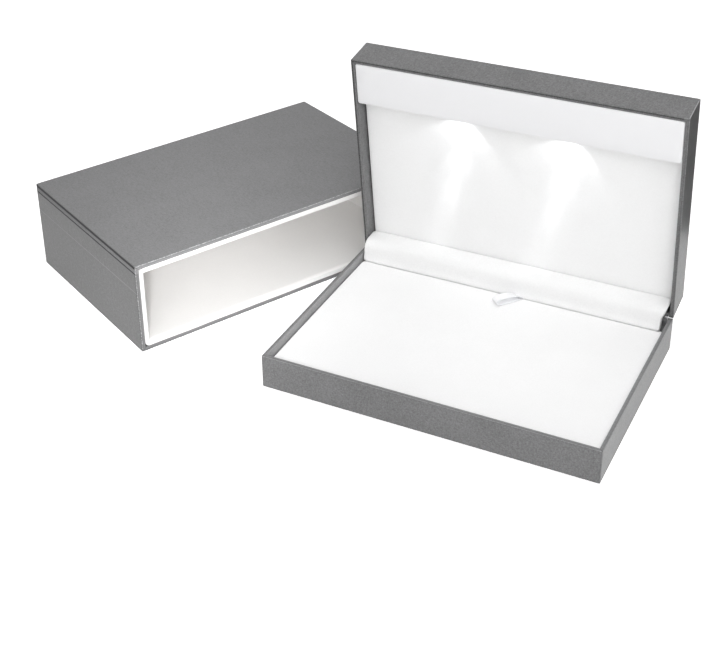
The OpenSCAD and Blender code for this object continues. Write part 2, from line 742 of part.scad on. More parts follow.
// Bent contact strips over the cells, with a tongue down to the board past the holder's end
module cell_spring_clips() {
  strip_t = 0.3;
  top_v = lamp_board_v - 0.8 - cell_t - strip_t;
  end_x = cell_d + cell_gap / 2 + 1.5;
  color(steel) on_lid() for (side = [-1, 1]) translate([0, -cell_mid_u, 0]) {
    translate([(side > 0) ? cell_gap / 2 + 4 : -end_x - strip_t, -2.5, lamp_board_v - 5.4 - strip_t])
      cube([end_x + strip_t - cell_gap / 2 - 4, 5, strip_t]);
    translate([side * (end_x + strip_t / 2) - strip_t / 2, -2.5, lamp_board_v - 5.4])
      cube([strip_t, 5, 5.4]);
    translate([side * (cell_d + cell_gap) / 2 - 1.5, -2.5, lamp_board_v - 5.4])
      cube([3, 5, top_v + strip_t - lamp_board_v + 5.4]);
  }
}

// Glass reed that the tray's magnet opens, lying on the board at its outer edge
module reed_switch() {
  u = lamp_board_u1 - 0.1;
  color("lightblue") on_lid() translate([board_len / 2 - 17.5, -u + 1.3, lamp_board_v - 1.2]) {
    rotate([0, 90, 0]) cylinder(h = 14, r = 1.1, center = true);
    for (side = [-1, 1]) {
      translate([side * 8.25 - 1.25, -0.25, -0.25]) cube([2.5, 0.5, 0.5]);
      translate([side * 9.25 - 0.25, -0.25, -0.25]) cube([0.5, 0.5, 1.45]);
    }
  }
}

module board_screws() {
  color(steel) on_lid() for (x = post_xs, u = [lamp_board_u0 + 3, lamp_board_u1 - 3])
    translate([x, -u, lamp_board_v]) {
      translate([0, 0, -1.2]) cylinder(h = 1.2, r = 1.6);
      cylinder(h = 5, r = screw_r);
    }
}

// ---------- sleeve ----------

module sleeve_slab(x0, x1, y0, y1, z0, z1) {
  on_sleeve() translate([x0, y0, z0]) cube([x1 - x0, y1 - y0, z1 - z0]);
}

s_in = wrap_t + sleeve_board_t;

module sleeve_bottom_board() {
  color(card) sleeve_slab(wrap_t, sleeve_w - wrap_t, wrap_t, sleeve_d - wrap_t, wrap_t, s_in);
}

module sleeve_top_board() {
  color(card) sleeve_slab(wrap_t, sleeve_w - wrap_t, wrap_t, sleeve_d - wrap_t,
    sleeve_h - s_in, sleeve_h - wrap_t);
}

module sleeve_left_board() {
  color(card) sleeve_slab(wrap_t, s_in, wrap_t, sleeve_d - wrap_t, s_in, sleeve_h - s_in);
}

module sleeve_right_board() {
  color(card) sleeve_slab(sleeve_w - s_in, sleeve_w - wrap_t, wrap_t, sleeve_d - wrap_t,
    s_in, sleeve_h - s_in);
}

module sleeve_back_board() {
  color(card) sleeve_slab(s_in, sleeve_w - s_in, sleeve_d - s_in, sleeve_d - wrap_t,
    s_in, sleeve_h - s_in);
}

module sleeve_base_sheet() {
  color(paper) sleeve_slab(0, sleeve_w, 0, sleeve_d, 0, wrap_t);
}

// Paper round the sides, the rim and its turn-in behind the lining
module sleeve_side_wrap() {
  side_z1 = sleeve_h - wrap_t - top_fold;
  color(paper) on_sleeve() difference() {
    translate([sleeve_w / 2, sleeve_d / 2, wrap_t]) linear_extrude(sleeve_h - 2 * wrap_t)
      rounded_rect(sleeve_w, sleeve_d, corner_r);
    translate([wrap_t, wrap_t, 0]) difference() {
      cube([sleeve_w - 2 * wrap_t, sleeve_d - 2 * wrap_t, sleeve_h]);
      translate([sleeve_board_t, -e, s_in])
        cube([sleeve_w - 2 * s_in, turn_in, sleeve_h - 2 * s_in]);
    }
    translate([sleeve_wall, -e, sleeve_wall])
      cube([sleeve_w - 2 * sleeve_wall, turn_in + 1, sleeve_h - 2 * sleeve_wall]);
    translate([-e, -e, side_z1]) difference() {
      cube([sleeve_w + 2 * e, sleeve_d + 2 * e, sleeve_h]);
      translate([s_in, -e, -e])
        cube([sleeve_w - 2 * s_in, turn_in + 1, sleeve_h - s_in - side_z1 + e]);
    }
  }
}

// Paper over the top, folded down all round onto the boards
module sleeve_top_wrap() {
  color(paper) on_sleeve() difference() {
    translate([sleeve_w / 2, sleeve_d / 2, sleeve_h - wrap_t - top_fold])
      linear_extrude(wrap_t + top_fold) rounded_rect(sleeve_w, sleeve_d, corner_r);
    translate([wrap_t, wrap_t, 0])
      cube([sleeve_w - 2 * wrap_t, sleeve_d - 2 * wrap_t, sleeve_h - wrap_t]);
    translate([s_in, -1, 0]) cube([sleeve_w - 2 * s_in, 3, sleeve_h - s_in]);
  }
}

// Padded lining panel whose front edge is rounded, lying on its back
module liner_panel(w, d, t) {
  r = liner_edge_r;
  rotate([90, 0, 90]) linear_extrude(w) {
    translate([r, 0]) square([d - r, t]);
    translate([0, r]) square([2 * r, t - 2 * r]);
    translate([r, r]) circle(r);
    translate([r, t - r]) circle(r);
  }
}

liner_w = sleeve_w - 2 * sleeve_wall;
liner_d = sleeve_d - s_in;

// Full-width panel lying on its back, its two lower long edges rounded against the boards
module wide_liner_panel() {
  r = min(liner_corner_r, liner_t);
  intersection() {
    liner_panel(liner_w, liner_d, liner_t);
    translate([0, liner_d, 0]) rotate([90, 0, 0]) linear_extrude(liner_d) {
      translate([0, r]) square([liner_w, liner_t]);
      translate([r, 0]) square([liner_w - 2 * r, liner_t]);
      for (x = [r, liner_w - r]) translate([x, r]) circle(r);
    }
  }
}

module liner_bottom() {
  color(cloth) on_sleeve() translate([sleeve_wall, 0, sleeve_wall]) wide_liner_panel();
}

module liner_top() {
  color(cloth) on_sleeve() translate([sleeve_wall, 0, sleeve_h - sleeve_wall]) mirror([0, 0, 1])
    wide_liner_panel();
}

module liner_left() {
  color(cloth) on_sleeve() translate([sleeve_wall + liner_t, 0, sleeve_wall + liner_t])
    rotate([0, -90, 0]) liner_panel(sleeve_h - 2 * (sleeve_wall + liner_t), liner_d, liner_t);
}

module liner_right() {
  color(cloth) on_sleeve() translate([sleeve_w - sleeve_wall, 0, sleeve_wall + liner_t])
    rotate([0, -90, 0]) liner_panel(sleeve_h - 2 * (sleeve_wall + liner_t), liner_d, liner_t);
}

module liner_back() {
  color(cloth) sleeve_slab(sleeve_wall + liner_t, sleeve_w - sleeve_wall - liner_t,
    sleeve_d - s_in - liner_t, sleeve_d - s_in, sleeve_wall + liner_t, sleeve_h - sleeve_wall - liner_t);
}

// ---------- assembly ----------

tray_base_board();
tray_front_wall();
tray_back_wall();
tray_left_wall();
tray_right_wall();
tray_wrap();
tray_felt();
display_pad();
display_pad_board();
ribbon_pull();
tray_back_cove();
tray_back_ledge();
lamp_magnet();
hinge_tray_leaf_left();
hinge_tray_leaf_right();
tray_leaf_rivets();
lid_panel_board();
lid_front_wall();
lid_back_wall();
lid_left_wall();
lid_right_wall();
lid_wrap();
lid_pad();
lid_pad_board();
hinge_roll();
hinge_lid_leaf_left();
hinge_lid_leaf_right();
lid_leaf_rivets();
hinge_pins();
lamp_housing();
lamp_bar_cover();
lamp_board();
lamp_left();
lamp_right();
cell_holder();
button_cells();
cell_spring_clips();
reed_switch();
board_screws();
sleeve_base_sheet();
sleeve_bottom_board();
sleeve_top_board();
sleeve_left_board();
sleeve_right_board();
sleeve_back_board();
sleeve_side_wrap();
sleeve_top_wrap();
liner_bottom();
liner_top();
liner_left();
liner_right();
liner_back();
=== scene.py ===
"""Lit presentation box and its sleeve: the looks of every piece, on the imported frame.

Pieces are measured in millimetres in the frame of what carries them (tray, open lid or sleeve) and
put in place once, in metres, when their mesh is finished.
"""
from __future__ import annotations

import logging
import math
from dataclasses import dataclass, field
from enum import Enum
from typing import Callable, Iterable, Sequence

import bmesh
import bpy
from mathutils import Matrix, Vector, noise


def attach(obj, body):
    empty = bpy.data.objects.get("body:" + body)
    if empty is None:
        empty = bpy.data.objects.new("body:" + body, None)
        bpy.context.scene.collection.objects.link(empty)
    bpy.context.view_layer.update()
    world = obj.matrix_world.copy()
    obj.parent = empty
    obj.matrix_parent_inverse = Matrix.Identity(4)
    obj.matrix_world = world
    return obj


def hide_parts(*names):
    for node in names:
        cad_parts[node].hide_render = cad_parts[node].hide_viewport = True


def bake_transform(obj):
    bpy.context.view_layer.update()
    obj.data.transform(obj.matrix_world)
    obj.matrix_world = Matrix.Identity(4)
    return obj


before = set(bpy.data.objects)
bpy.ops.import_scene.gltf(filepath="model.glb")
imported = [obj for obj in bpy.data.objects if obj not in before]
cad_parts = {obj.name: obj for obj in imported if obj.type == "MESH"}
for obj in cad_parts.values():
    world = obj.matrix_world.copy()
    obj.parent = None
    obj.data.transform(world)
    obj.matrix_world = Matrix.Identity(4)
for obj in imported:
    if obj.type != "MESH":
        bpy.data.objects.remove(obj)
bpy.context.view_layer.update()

LOG = logging.getLogger("presentation_box")
MM = 0.001
HINGE_Y, HINGE_Z = 81.5, 25.5
TURN_IN = 15.0

Triple = tuple[float, float, float]
Colour = tuple[float, float, float, float]
Seam = tuple[int, float, float, float]
Test = Callable[[Vector], bool]
Edges = list[bmesh.types.BMEdge]


# ---------------------------------------------------------------- frames, tones and settings


class Seat(Enum):
    """The frame that a piece is measured in: its origin in mm and its turn about X and Z in degrees."""

    TRAY = ((0.0, 0.0, 0.0), (0.0, 0.0))
    LID = ((0.0, HINGE_Y, HINGE_Z), (-82.0, 0.0))
    SLEEVE = ((-215.47962, -81.80449, 0.0), (0.0, 62.4))

    @property
    def turn(self) -> Triple:
        """The frame's turn as Euler angles in radians."""
        about_x, about_z = self.value[1]
        return math.radians(about_x), 0.0, math.radians(about_z)

    @property
    def origin(self) -> Vector:
        """The frame's origin in metres."""
        return Vector(self.value[0]) * MM

    @property
    def matrix(self) -> Matrix:
        """Takes millimetres of this frame to metres of the row frame."""
        about_x, _, about_z = self.turn
        turned = Matrix.Rotation(about_z, 4, "Z") @ Matrix.Rotation(about_x, 4, "X")
        return Matrix.Translation(self.origin) @ turned @ Matrix.Scale(MM, 4)


def tone(*levels: float) -> Colour:
    """A grey or a colour written in screen levels from 0 to 255.

    Args:
        levels: one level for a grey, or red, green and blue.

    Returns:
        The linear RGBA colour.
    """
    shares = [level / 255 for level in levels * (3 // len(levels))]
    linear = [s / 12.92 if s <= 0.04045 else ((s + 0.055) / 1.055) ** 2.4 for s in shares]
    return (*linear, 1.0)


def settle(target: object, **values: object) -> object:
    """Sets properties of a node, modifier, light or camera, and returns it."""
    for key, value in values.items():
        setattr(target, key, value)
    return target


def placed(name: str, data: bpy.types.ID) -> bpy.types.Object:
    """A new object of the scene, at the origin."""
    obj = bpy.data.objects.new(name, data)
    bpy.context.scene.collection.objects.link(obj)
    return obj


def shine(obj: bpy.types.Object, start: Vector, way: Vector) -> None:
    """Puts a light at a point and points it along a way."""
    obj.location = start
    obj.rotation_euler = way.to_track_quat("-Z", "Y").to_euler()


# ---------------------------------------------------------------- shader graph


def both_ways(operation: str) -> tuple[Callable[[Wire, Wire | float], Wire], ...]:
    """The methods of an operator and of its reflected form, which add one Math node."""
    return (
        lambda wire, other: wire.math(operation, wire, other),
        lambda wire, other: wire.math(operation, other, wire),
    )


class Wire:
    """An output socket that Python's operators work on; each operator adds its Math node."""

    __add__, __radd__ = both_ways("ADD")
    __sub__, __rsub__ = both_ways("SUBTRACT")
    __mul__, __rmul__ = both_ways("MULTIPLY")

    def __init__(self, graph: Graph, socket: bpy.types.NodeSocket) -> None:
        """Wraps one socket of a graph."""
        self.graph = graph
        self.socket = socket

    def math(self, operation: str, *values: Wire | float) -> Wire:
        """One Math node."""
        return self.graph.add("ShaderNodeMath", {"operation": operation}, values)

    def __abs__(self) -> Wire:
        """abs(self)."""
        return self.math("ABSOLUTE", self)

    def least(self, other: Wire | float) -> Wire:
        """The smaller of the two."""
        return self.math("MINIMUM", self, other)

    def most(self, other: Wire | float) -> Wire:
        """The larger of the two."""
        return self.math("MAXIMUM", self, other)

    def ramp(self, low: float, high: float) -> Wire:
        """A smooth rise from 0 at low to 1 at high.

        Args:
            low: value at which the rise starts; larger than high for a fall.
            high: value at which it ends.

        Returns:
            The eased share, held to 0 and 1 outside.
        """
        if low > high:
            return 1.0 - self.ramp(high, low)
        settings = {"interpolation_type": "SMOOTHSTEP", "clamp": True}
        return self.graph.add("ShaderNodeMapRange", settings, (self, low, high, 0.0, 1.0))

    def line(self, at: float, half: float) -> Wire:
        """A soft line where the value passes at, half wide to each side."""
        return abs(self - at).ramp(half, 0.5 * half)


class Graph:
    """The node tree of one material, built from expressions."""

    def __init__(self, tree: bpy.types.NodeTree) -> None:
        """Starts from an empty tree."""
        self.tree = tree
        tree.nodes.clear()

    def add(
        self, kind: str, settings: dict[str, object] | None = None,
        inputs: Sequence[object] | dict[str | int, object] = (), output: int | str = 0,
    ) -> Wire:
        """Adds one node: its type, then its settings, then its sockets.

        Args:
            kind: the node's type name.
            settings: properties set before the sockets.
            inputs: values or wires, in order or by socket name or number.
            output: the socket that is returned.

        Returns:
            The chosen output.
        """
        node = settle(self.tree.nodes.new(kind), **(settings or {}))
        for key, value in inputs.items() if isinstance(inputs, dict) else enumerate(inputs):
            if isinstance(value, Wire):
                self.tree.links.new(value.socket, node.inputs[key])
            else:
                node.inputs[key].default_value = value
        return Wire(self, node.outputs[output])

    def end(self, kind: str, shader: Wire) -> None:
        """Adds the output node and feeds it."""
        node = self.tree.nodes.new(kind)
        self.tree.links.new(shader.socket, node.inputs[0])

    def place(self, seat: Seat, stretch: Triple = (1.0, 1.0, 1.0)) -> Wire:
        """Object coordinates turned into a seat's frame, in millimetres.

        Args:
            seat: the frame.
            stretch: how much longer a pattern is along each axis.

        Returns:
            The vector.
        """
        spot = self.add("ShaderNodeTexCoord", output="Object")
        scale = [MM * s for s in stretch]
        settings = {"vector_type": "TEXTURE"}
        return self.add("ShaderNodeMapping", settings, (spot, tuple(seat.origin), seat.turn, scale))

    def axes(self, vector: Wire) -> list[Wire]:
        """A vector's three numbers."""
        node = self.add("ShaderNodeSeparateXYZ", inputs=(vector,)).socket.node
        return [Wire(self, output) for output in node.outputs]

    def noise(self, spot: Wire, scale: float, detail: float = 2.0, rough: float = 0.5) -> Wire:
        """Smooth noise from about 0.3 to 0.7."""
        values = {"Vector": spot, "Scale": scale, "Detail": detail, "Roughness": rough}
        return self.add("ShaderNodeTexNoise", {}, values)

    def drawn(self, seat: Seat, stretch: Triple, scale: float, detail: float = 2.0, rough: float = 0.5) -> Wire:
        """Smooth noise that is drawn out along the axes of a seat."""
        return self.noise(self.place(seat, stretch), scale, detail, rough)

    def cells(self, spot: Wire, scale: float) -> Wire:
        """Distance to the nearest of scattered points."""
        return self.add("ShaderNodeTexVoronoi", {}, {"Vector": spot, "Scale": scale}, "Distance")

    def threads(self, spot: Wire, way: str, scale: float, bend: float = 0.0) -> Wire:
        """Even waves across one axis."""
        values = {"Vector": spot, "Scale": scale, "Distortion": bend}
        return self.add("ShaderNodeTexWave", {"bands_direction": way}, values)

    def blend(self, share: Wire | float, first: Wire | Colour, second: Wire | Colour) -> Wire:
        """A colour between two, as far as share says."""
        settings = {"data_type": "RGBA", "clamp_factor": True}
        return self.add("ShaderNodeMix", settings, {0: share, 6: first, 7: second}, 2)

    def bump(self, height: Wire, depth: float, strength: float) -> Wire:
        """A normal bent by a height of 0 to 1 that stands for depth millimetres."""
        return self.add("ShaderNodeBump", {}, {"Height": height, "Distance": depth * MM, "Strength": strength})

    def rays_that_show(self) -> Wire:
        """1 for what the eye, a gloss or a glass sees directly, 0 for light on its way."""
        path = self.add("ShaderNodeLightPath").socket.node
        names = ("Is Camera Ray", "Is Glossy Ray", "Is Transmission Ray")
        eye, gloss, glass = (Wire(self, path.outputs[name]) for name in names)
        return eye.most(gloss).most(glass)

    def surface(self, **sockets: object) -> None:
        """Adds the Principled shader and the output.

        Args:
            sockets: the shader's sockets, with underscores for spaces.
        """
        values = {key.replace("_", " "): value for key, value in sockets.items()}
        self.end("ShaderNodeOutputMaterial", self.add("ShaderNodeBsdfPrincipled", {}, values))


# ---------------------------------------------------------------- finishes


@dataclass(frozen=True)
class Finish:
    """What a surface is made of. Each kind fills in its own nodes."""

    name: str

    def nodes(self, graph: Graph) -> None:
        """Adds the finish's nodes to the empty tree of its material."""
        raise NotImplementedError

    def material(self) -> bpy.types.Material:
        """The finish's material, made when first asked for."""
        found = bpy.data.materials.get(self.name)
        if found is None:
            found = bpy.data.materials.new(self.name)
            found.use_nodes = True
            self.nodes(Graph(found.node_tree))
        return found


@dataclass(frozen=True)
class CoveringPaper(Finish):
    """Grey fibred covering paper on a box: fine speckle, painted shade along its folded edges and in the groove
    at its rim's edge, painted light on its rim, turned-in walls and edges, mitres on the rim.

    middle and half are the box's middle and half sizes in its seat. rim is the axis and side that
    is open, and seams are (axis, place, half width, depth of tone) lines across it, off the rim.
    """

    seat: Seat
    middle: Triple
    half: Triple
    rim_axis: int = 2
    rim_side: float = 1.0
    wall: float = 2.8
    # painted shade: how dark the groove along the rim's outer edge is painted
    rim_edge_shade: float = 0.75
    # painted light: how much lighter the rim's face is painted
    rim_painted_light: float = 0.0
    wear: float = 0.2
    # painted light: how much lighter the turned-in inner walls are painted
    inside_painted_light: float = 0.0
    # painted light and shade: lifts or lowers the tone of a piece's whole paper for how light falls on it
    painted_tone_shift: float = 0.0
    seams: tuple[Seam, ...] = ()

    def nodes(self, graph: Graph) -> None:
        """Speckle and fibres, then painted edge shade, painted light on the rim and turned-in walls, mitres,
        seams, and wear with a painted edge highlight, from distances to the box's planes.
        """
        spot = graph.place(self.seat)
        fine = graph.noise(spot, 1.1, 3.0, 0.7)
        fibre = graph.drawn(self.seat, (2.6, 0.8, 0.8), 1.1)
        cross = graph.drawn(self.seat, (0.8, 2.6, 2.2), 0.9)
        mottle = graph.noise(spot, 0.035, 3.0)
        broken = graph.noise(spot, 1.3).ramp(0.45, 0.6)
        fleck = graph.cells(spot, 0.55).ramp(0.2, 0.06)
        speck = graph.cells(spot, 0.3).ramp(0.07, 0.03)
        # The shift added here moves the whole paper lighter or darker: painted light and shade.
        shade = 0.5 + self.painted_tone_shift + 1.3 * (fine - 0.5) + 0.8 * (fibre - 0.5)
        shade = shade + 0.6 * (cross - 0.5) + 0.35 * (mottle - 0.5)

        axes = graph.axes(spot)
        away = [h - abs(p - m) for p, m, h in zip(axes, self.middle, self.half)]
        one, two = (away[i] for i in range(3) if i != self.rim_axis)
        depth = self.rim_side * (self.middle[self.rim_axis] - axes[self.rim_axis]) + self.half[self.rim_axis]
        inward = one.least(two)
        on_rim = depth.ramp(0.5, 0.25) * inward.ramp(self.wall + 0.4, self.wall)
        edge = away[0].most(away[1]).least(away[0].most(away[2])).least(away[1].most(away[2]))
        # painted shade along the folded edges, 0.6 mm in from each, over a shallow groove in the bump
        fold = edge.line(0.6, 0.35) * (1.0 - on_rim)
        # painted shade in the groove along the rim's outer edge, kept faint at the right side, which takes the
        # light
        away_from_lit_right = axes[0].ramp(self.half[0] - 3.0, self.half[0] - 5.0)
        rim_edge_shade = inward.ramp(1.75, 1.2) * on_rim * (0.3 + 0.7 * away_from_lit_right)
        # painted light on the turned-in inner walls, where light from the right would fall
        inside = inward.ramp(self.wall - 0.5, self.wall) * depth.ramp(TURN_IN + 3.0, TURN_IN + 2.0)
        # real wear at the rim's edges, broken by noise, and a painted highlight along every edge
        wear_and_edge_highlight = self.wear * broken * depth.ramp(1.6, 0.9) * edge.ramp(0.7, 0.3) + 0.25 * edge.ramp(0.3, 0.12)
        mitre = (one - two).line(0.0, 0.22) * on_rim * one.ramp(self.wall + 0.4, self.wall)

        colour = graph.blend(shade, tone(86), tone(137, 137, 138))
        for share, over in (
            (0.2 * fleck, tone(182)),
            (0.3 * speck, tone(76)),
            # painted shade along the folded edges
            (0.2 * fold, tone(66, 66, 67)),
            # painted light on the rim's face
            (self.rim_painted_light * on_rim, tone(160, 160, 161)),
            # painted light on the turned-in walls
            (self.inside_painted_light * inside, tone(236, 236, 237)),
            # painted shade along the rim's outer edge
            ((0.65 + 0.35 * broken) * self.rim_edge_shade * rim_edge_shade, tone(34, 34, 35)),
            # wear, and the painted edge highlight
            (wear_and_edge_highlight, tone(190, 190, 191)),
            (0.7 * mitre, tone(40, 40, 41)),
        ):
            colour = graph.blend(share, colour, over)
        height = 0.5 * fine + 0.3 * fibre + 0.2 * cross - 1.5 * mitre - 0.5 * fold - rim_edge_shade
        dull = mitre.most(self.rim_edge_shade * rim_edge_shade)
        # lines across the paper: dark joints and light lines, and on some pieces a painted shade or highlight
        # along an edge
        for axis, at, half, deep in self.seams:
            cut = axes[axis].line(at, half) * (1.0 - on_rim)
            colour = graph.blend(abs(deep) * cut, colour, tone(24, 24, 25) if deep > 0 else tone(190, 190, 191))
            height = height - (1.5 if deep > 0 else -0.8) * cut
            dull = dull.most(cut)
        graph.surface(
            Base_Color=colour, Roughness=0.34 + 0.12 * (fine - 0.5) + 0.1 * mottle + 0.45 * dull,
            Specular_IOR_Level=0.28, Coat_Weight=0.1, Coat_Roughness=0.2, Normal=graph.bump(height, 0.05, 0.7),
        )


@dataclass(frozen=True)
class NappedCloth(Finish):
    """White short-napped cloth over foam: pebbled nap, faint clouds, drawn wrinkles, painted shade inside a
    mouth.
    """

    seat: Seat
    light: Colour = tone(251)
    dark: Colour = tone(241)
    grain: float = 1.5
    depth: float = 0.05
    wrinkle: float = 0.0
    # painted shade: how dark the cloth is painted inside the mouth
    mouth_shade: float = 0.0

    def nodes(self, graph: Graph) -> None:
        """Nap as two sizes of noise over a slow cloud, with a few long shallow wrinkles."""
        spot = graph.place(self.seat)
        nap = graph.noise(spot, self.grain, 3.0, 0.6)
        tuft = graph.noise(spot, 0.6 * self.grain, 2.0, 0.6)
        pile = graph.cells(spot, 2.2 * self.grain).ramp(0.75, 0.1)
        cloud = graph.noise(spot, 0.03)
        ridge = abs(graph.drawn(self.seat, (3.4, 1.0, 1.0), 0.02) - 0.5).ramp(0.03, 0.0)
        share = 0.5 + 0.9 * (nap - 0.5) + 0.9 * (tuft - 0.5) + 0.5 * (cloud - 0.5) + 0.2 * (pile - 0.5)
        colour = graph.blend(share, self.dark, self.light)
        # painted shade: a warm grey darkening from 1.5 mm inside the opening, strongest at 5 to 8 mm and gone
        # by 85 mm
        if self.mouth_shade:
            inwards = graph.axes(spot)[1]
            mouth_shade_mask = inwards.ramp(85.0, 8.0) * inwards.ramp(1.5, 5.0)
            colour = graph.blend(self.mouth_shade * mouth_shade_mask, colour, tone(200, 199, 197))
        height = 0.6 * nap + 0.3 * pile + 1.0 * tuft + self.wrinkle * ridge
        graph.surface(
            Base_Color=colour, Roughness=0.82 + 0.1 * (nap - 0.5), Specular_IOR_Level=0.25,
            Sheen_Weight=0.25, Sheen_Roughness=0.5, Normal=graph.bump(height, self.depth, 0.5),
        )


@dataclass(frozen=True)
class Leatherette(Finish):
    """White leatherette with a fine pebbled grain."""

    def nodes(self, graph: Graph) -> None:
        """Pebbles between fine grooves, in slowly drifting tones."""
        spot = graph.place(Seat.LID)
        drift = graph.noise(spot, 0.5)
        pebble = graph.cells(spot, 0.62).ramp(0.0, 0.62)
        vein = graph.drawn(Seat.LID, (1.8, 0.8, 1.0), 2.4)
        cloud = graph.noise(spot, 0.025)
        share = 0.85 - 0.6 * pebble + 2.4 * (drift - 0.5) + 0.5 * (cloud - 0.5)
        graph.surface(
            Base_Color=graph.blend(share, tone(229, 229, 228), tone(250, 250, 249)),
            Roughness=0.6 + 0.12 * pebble, Specular_IOR_Level=0.35,
            Normal=graph.bump(1.0 - 0.8 * pebble + 0.35 * vein, 0.2, 0.55),
        )


@dataclass(frozen=True)
class SatinRibbon(Finish):
    """White satin ribbon: fine warp lines along its length and a firmer woven edge, on its own UVs."""

    def nodes(self, graph: Graph) -> None:
        """Warp and weft from the strip's UV map, in millimetres along and across."""
        flat = graph.add("ShaderNodeUVMap", {"uv_map": "strip"})
        over = graph.axes(flat)[1]
        warp = graph.threads(flat, "Y", 3.2, 0.4)
        weft = graph.threads(flat, "X", 2.1, 0.2)
        slub = graph.noise(flat, 0.9)
        rim = abs(over - 3.5).ramp(2.9, 3.3)
        share = 0.45 + 0.35 * (warp - 0.5) + 0.6 * (slub - 0.5) - 0.25 * rim
        graph.surface(
            Base_Color=graph.blend(share, tone(246, 247, 250), tone(255)),
            Roughness=0.34 + 0.12 * rim + 0.1 * (weft - 0.5), Anisotropic=0.4, Sheen_Weight=0.2,
            Normal=graph.bump(0.7 * warp + 0.3 * weft + 0.8 * rim, 0.03, 0.5),
        )


@dataclass(frozen=True)
class Greyboard(Finish):
    """Pressed grey board: long light and dark fibres in a warm grey."""

    seat: Seat

    def nodes(self, graph: Graph) -> None:
        """Fibres at two scales, layered along the sheet."""
        spot = graph.place(self.seat)
        fibre = graph.drawn(self.seat, (4.0, 1.0, 1.0), 1.8, 3.0, 0.7)
        pulp = graph.noise(spot, 0.5, 4.0)
        fleck = graph.cells(spot, 0.6).ramp(0.14, 0.04)
        share = 0.5 + 1.6 * (fibre - 0.5) + 0.9 * (pulp - 0.5)
        colour = graph.blend(share, tone(98, 96, 93), tone(132, 130, 126))
        colour = graph.blend(0.5 * fleck, colour, tone(74, 72, 70))
        graph.surface(Base_Color=colour, Roughness=0.88 + 0.06 * pulp, Normal=graph.bump(fibre, 0.06, 0.6))


@dataclass(frozen=True)
class Felt(Finish):
    """Pressed felt: matted curling fibres in mid grey."""

    def nodes(self, graph: Graph) -> None:
        """Two crossed layers of fibre noise."""
        curl = graph.noise(graph.place(Seat.TRAY), 0.7, 5.0, 0.75)
        lint = graph.drawn(Seat.TRAY, (0.6, 3.0, 1.0), 1.6, 3.0)
        share = 0.5 + 1.5 * (curl - 0.5) + (lint - 0.5)
        graph.surface(
            Base_Color=graph.blend(share, tone(74, 76, 80), tone(112, 114, 118)),
            Roughness=0.95, Sheen_Weight=0.4, Specular_IOR_Level=0.2,
            Normal=graph.bump(0.6 * curl + 0.4 * lint, 0.15, 0.7),
        )


@dataclass(frozen=True)
class PlatedSteel(Finish):
    """Bright nickel-plated steel with faint drawing lines and handling marks."""

    seat: Seat
    base: Colour = tone(172, 172, 174)
    rough: float = 0.24

    def nodes(self, graph: Graph) -> None:
        """Fine lines along the strip, smudges in the gloss."""
        lines = graph.drawn(self.seat, (8.0, 0.5, 0.5), 2.0)
        smudge = graph.noise(graph.place(self.seat), 0.3, 3.0)
        share = 0.4 + (smudge - 0.5) + 0.5 * (lines - 0.5)
        graph.surface(
            Base_Color=graph.blend(share, tone(132, 132, 134), self.base), Metallic=1.0,
            Roughness=self.rough + 0.2 * (smudge - 0.4).most(0.0) + 0.08 * lines,
            Normal=graph.bump(lines, 0.01, 0.4),
        )


@dataclass(frozen=True)
class MouldedPlastic(Finish):
    """Moulded plastic with a fine spark-eroded grain."""

    light: Colour = tone(240, 240, 238)
    dark: Colour = tone(228, 228, 226)
    rough: float = 0.42

    def nodes(self, graph: Graph) -> None:
        """Grain in the bump and a slow change of tone where the melt flowed."""
        grain = graph.noise(graph.place(Seat.LID), 4.0)
        flow = graph.drawn(Seat.LID, (3.0, 1.0, 1.0), 0.08)
        graph.surface(
            Base_Color=graph.blend(0.5 + 1.4 * (flow - 0.5), self.dark, self.light),
            Roughness=self.rough + 0.15 * grain, Normal=graph.bump(grain, 0.02, 0.4),
        )


@dataclass(frozen=True)
class CircuitLaminate(Finish):
    """Green solder mask over glass cloth, with copper tracks under it and tinned pads."""

    def nodes(self, graph: Graph) -> None:
        """Tracks as lines across the board, pads at the lamps' legs."""
        spot = graph.place(Seat.LID)
        x, y, _ = graph.axes(spot)
        weave = graph.threads(spot, "X", 1.4)
        cloth = graph.noise(spot, 1.2)
        track = y.line(-152.5, 0.7).most(y.line(-138.2, 0.5)).most(abs(x).line(38.7, 0.5))
        track = track.most(y.line(-135.9, 0.35))
        pads = (abs(abs(x) - 38.7) - 1.27).line(0.0, 0.8) * y.line(-134.9, 1.1)
        share = 0.5 + (cloth - 0.5) + 0.3 * (weave - 0.5)
        colour = graph.blend(share, tone(18, 84, 52), tone(28, 104, 66))
        colour = graph.blend(0.55 * track, colour, tone(58, 140, 88))
        graph.surface(
            Base_Color=graph.blend(pads, colour, tone(200, 200, 198)), Metallic=0.9 * pads,
            Roughness=0.3 + 0.1 * cloth, Normal=graph.bump(track + 0.2 * weave, 0.04, 0.5),
        )


@dataclass(frozen=True)
class LampLens(Finish):
    """Clear domed lens, brightest at its tip, seen as it glows."""

    def nodes(self, graph: Graph) -> None:
        """Glow that rises towards the tip, over clear resin with faint flow lines."""
        spot = graph.place(Seat.LID)
        tip = graph.axes(spot)[1].ramp(-128.6, -125.2)
        graph.surface(
            Base_Color=tone(236, 240, 246), Roughness=0.08 + 0.1 * graph.noise(spot, 1.0),
            Transmission_Weight=0.6, IOR=1.5,
            Emission_Color=graph.blend(tip, tone(188, 198, 210), tone(255)), Emission_Strength=1.1,
        )


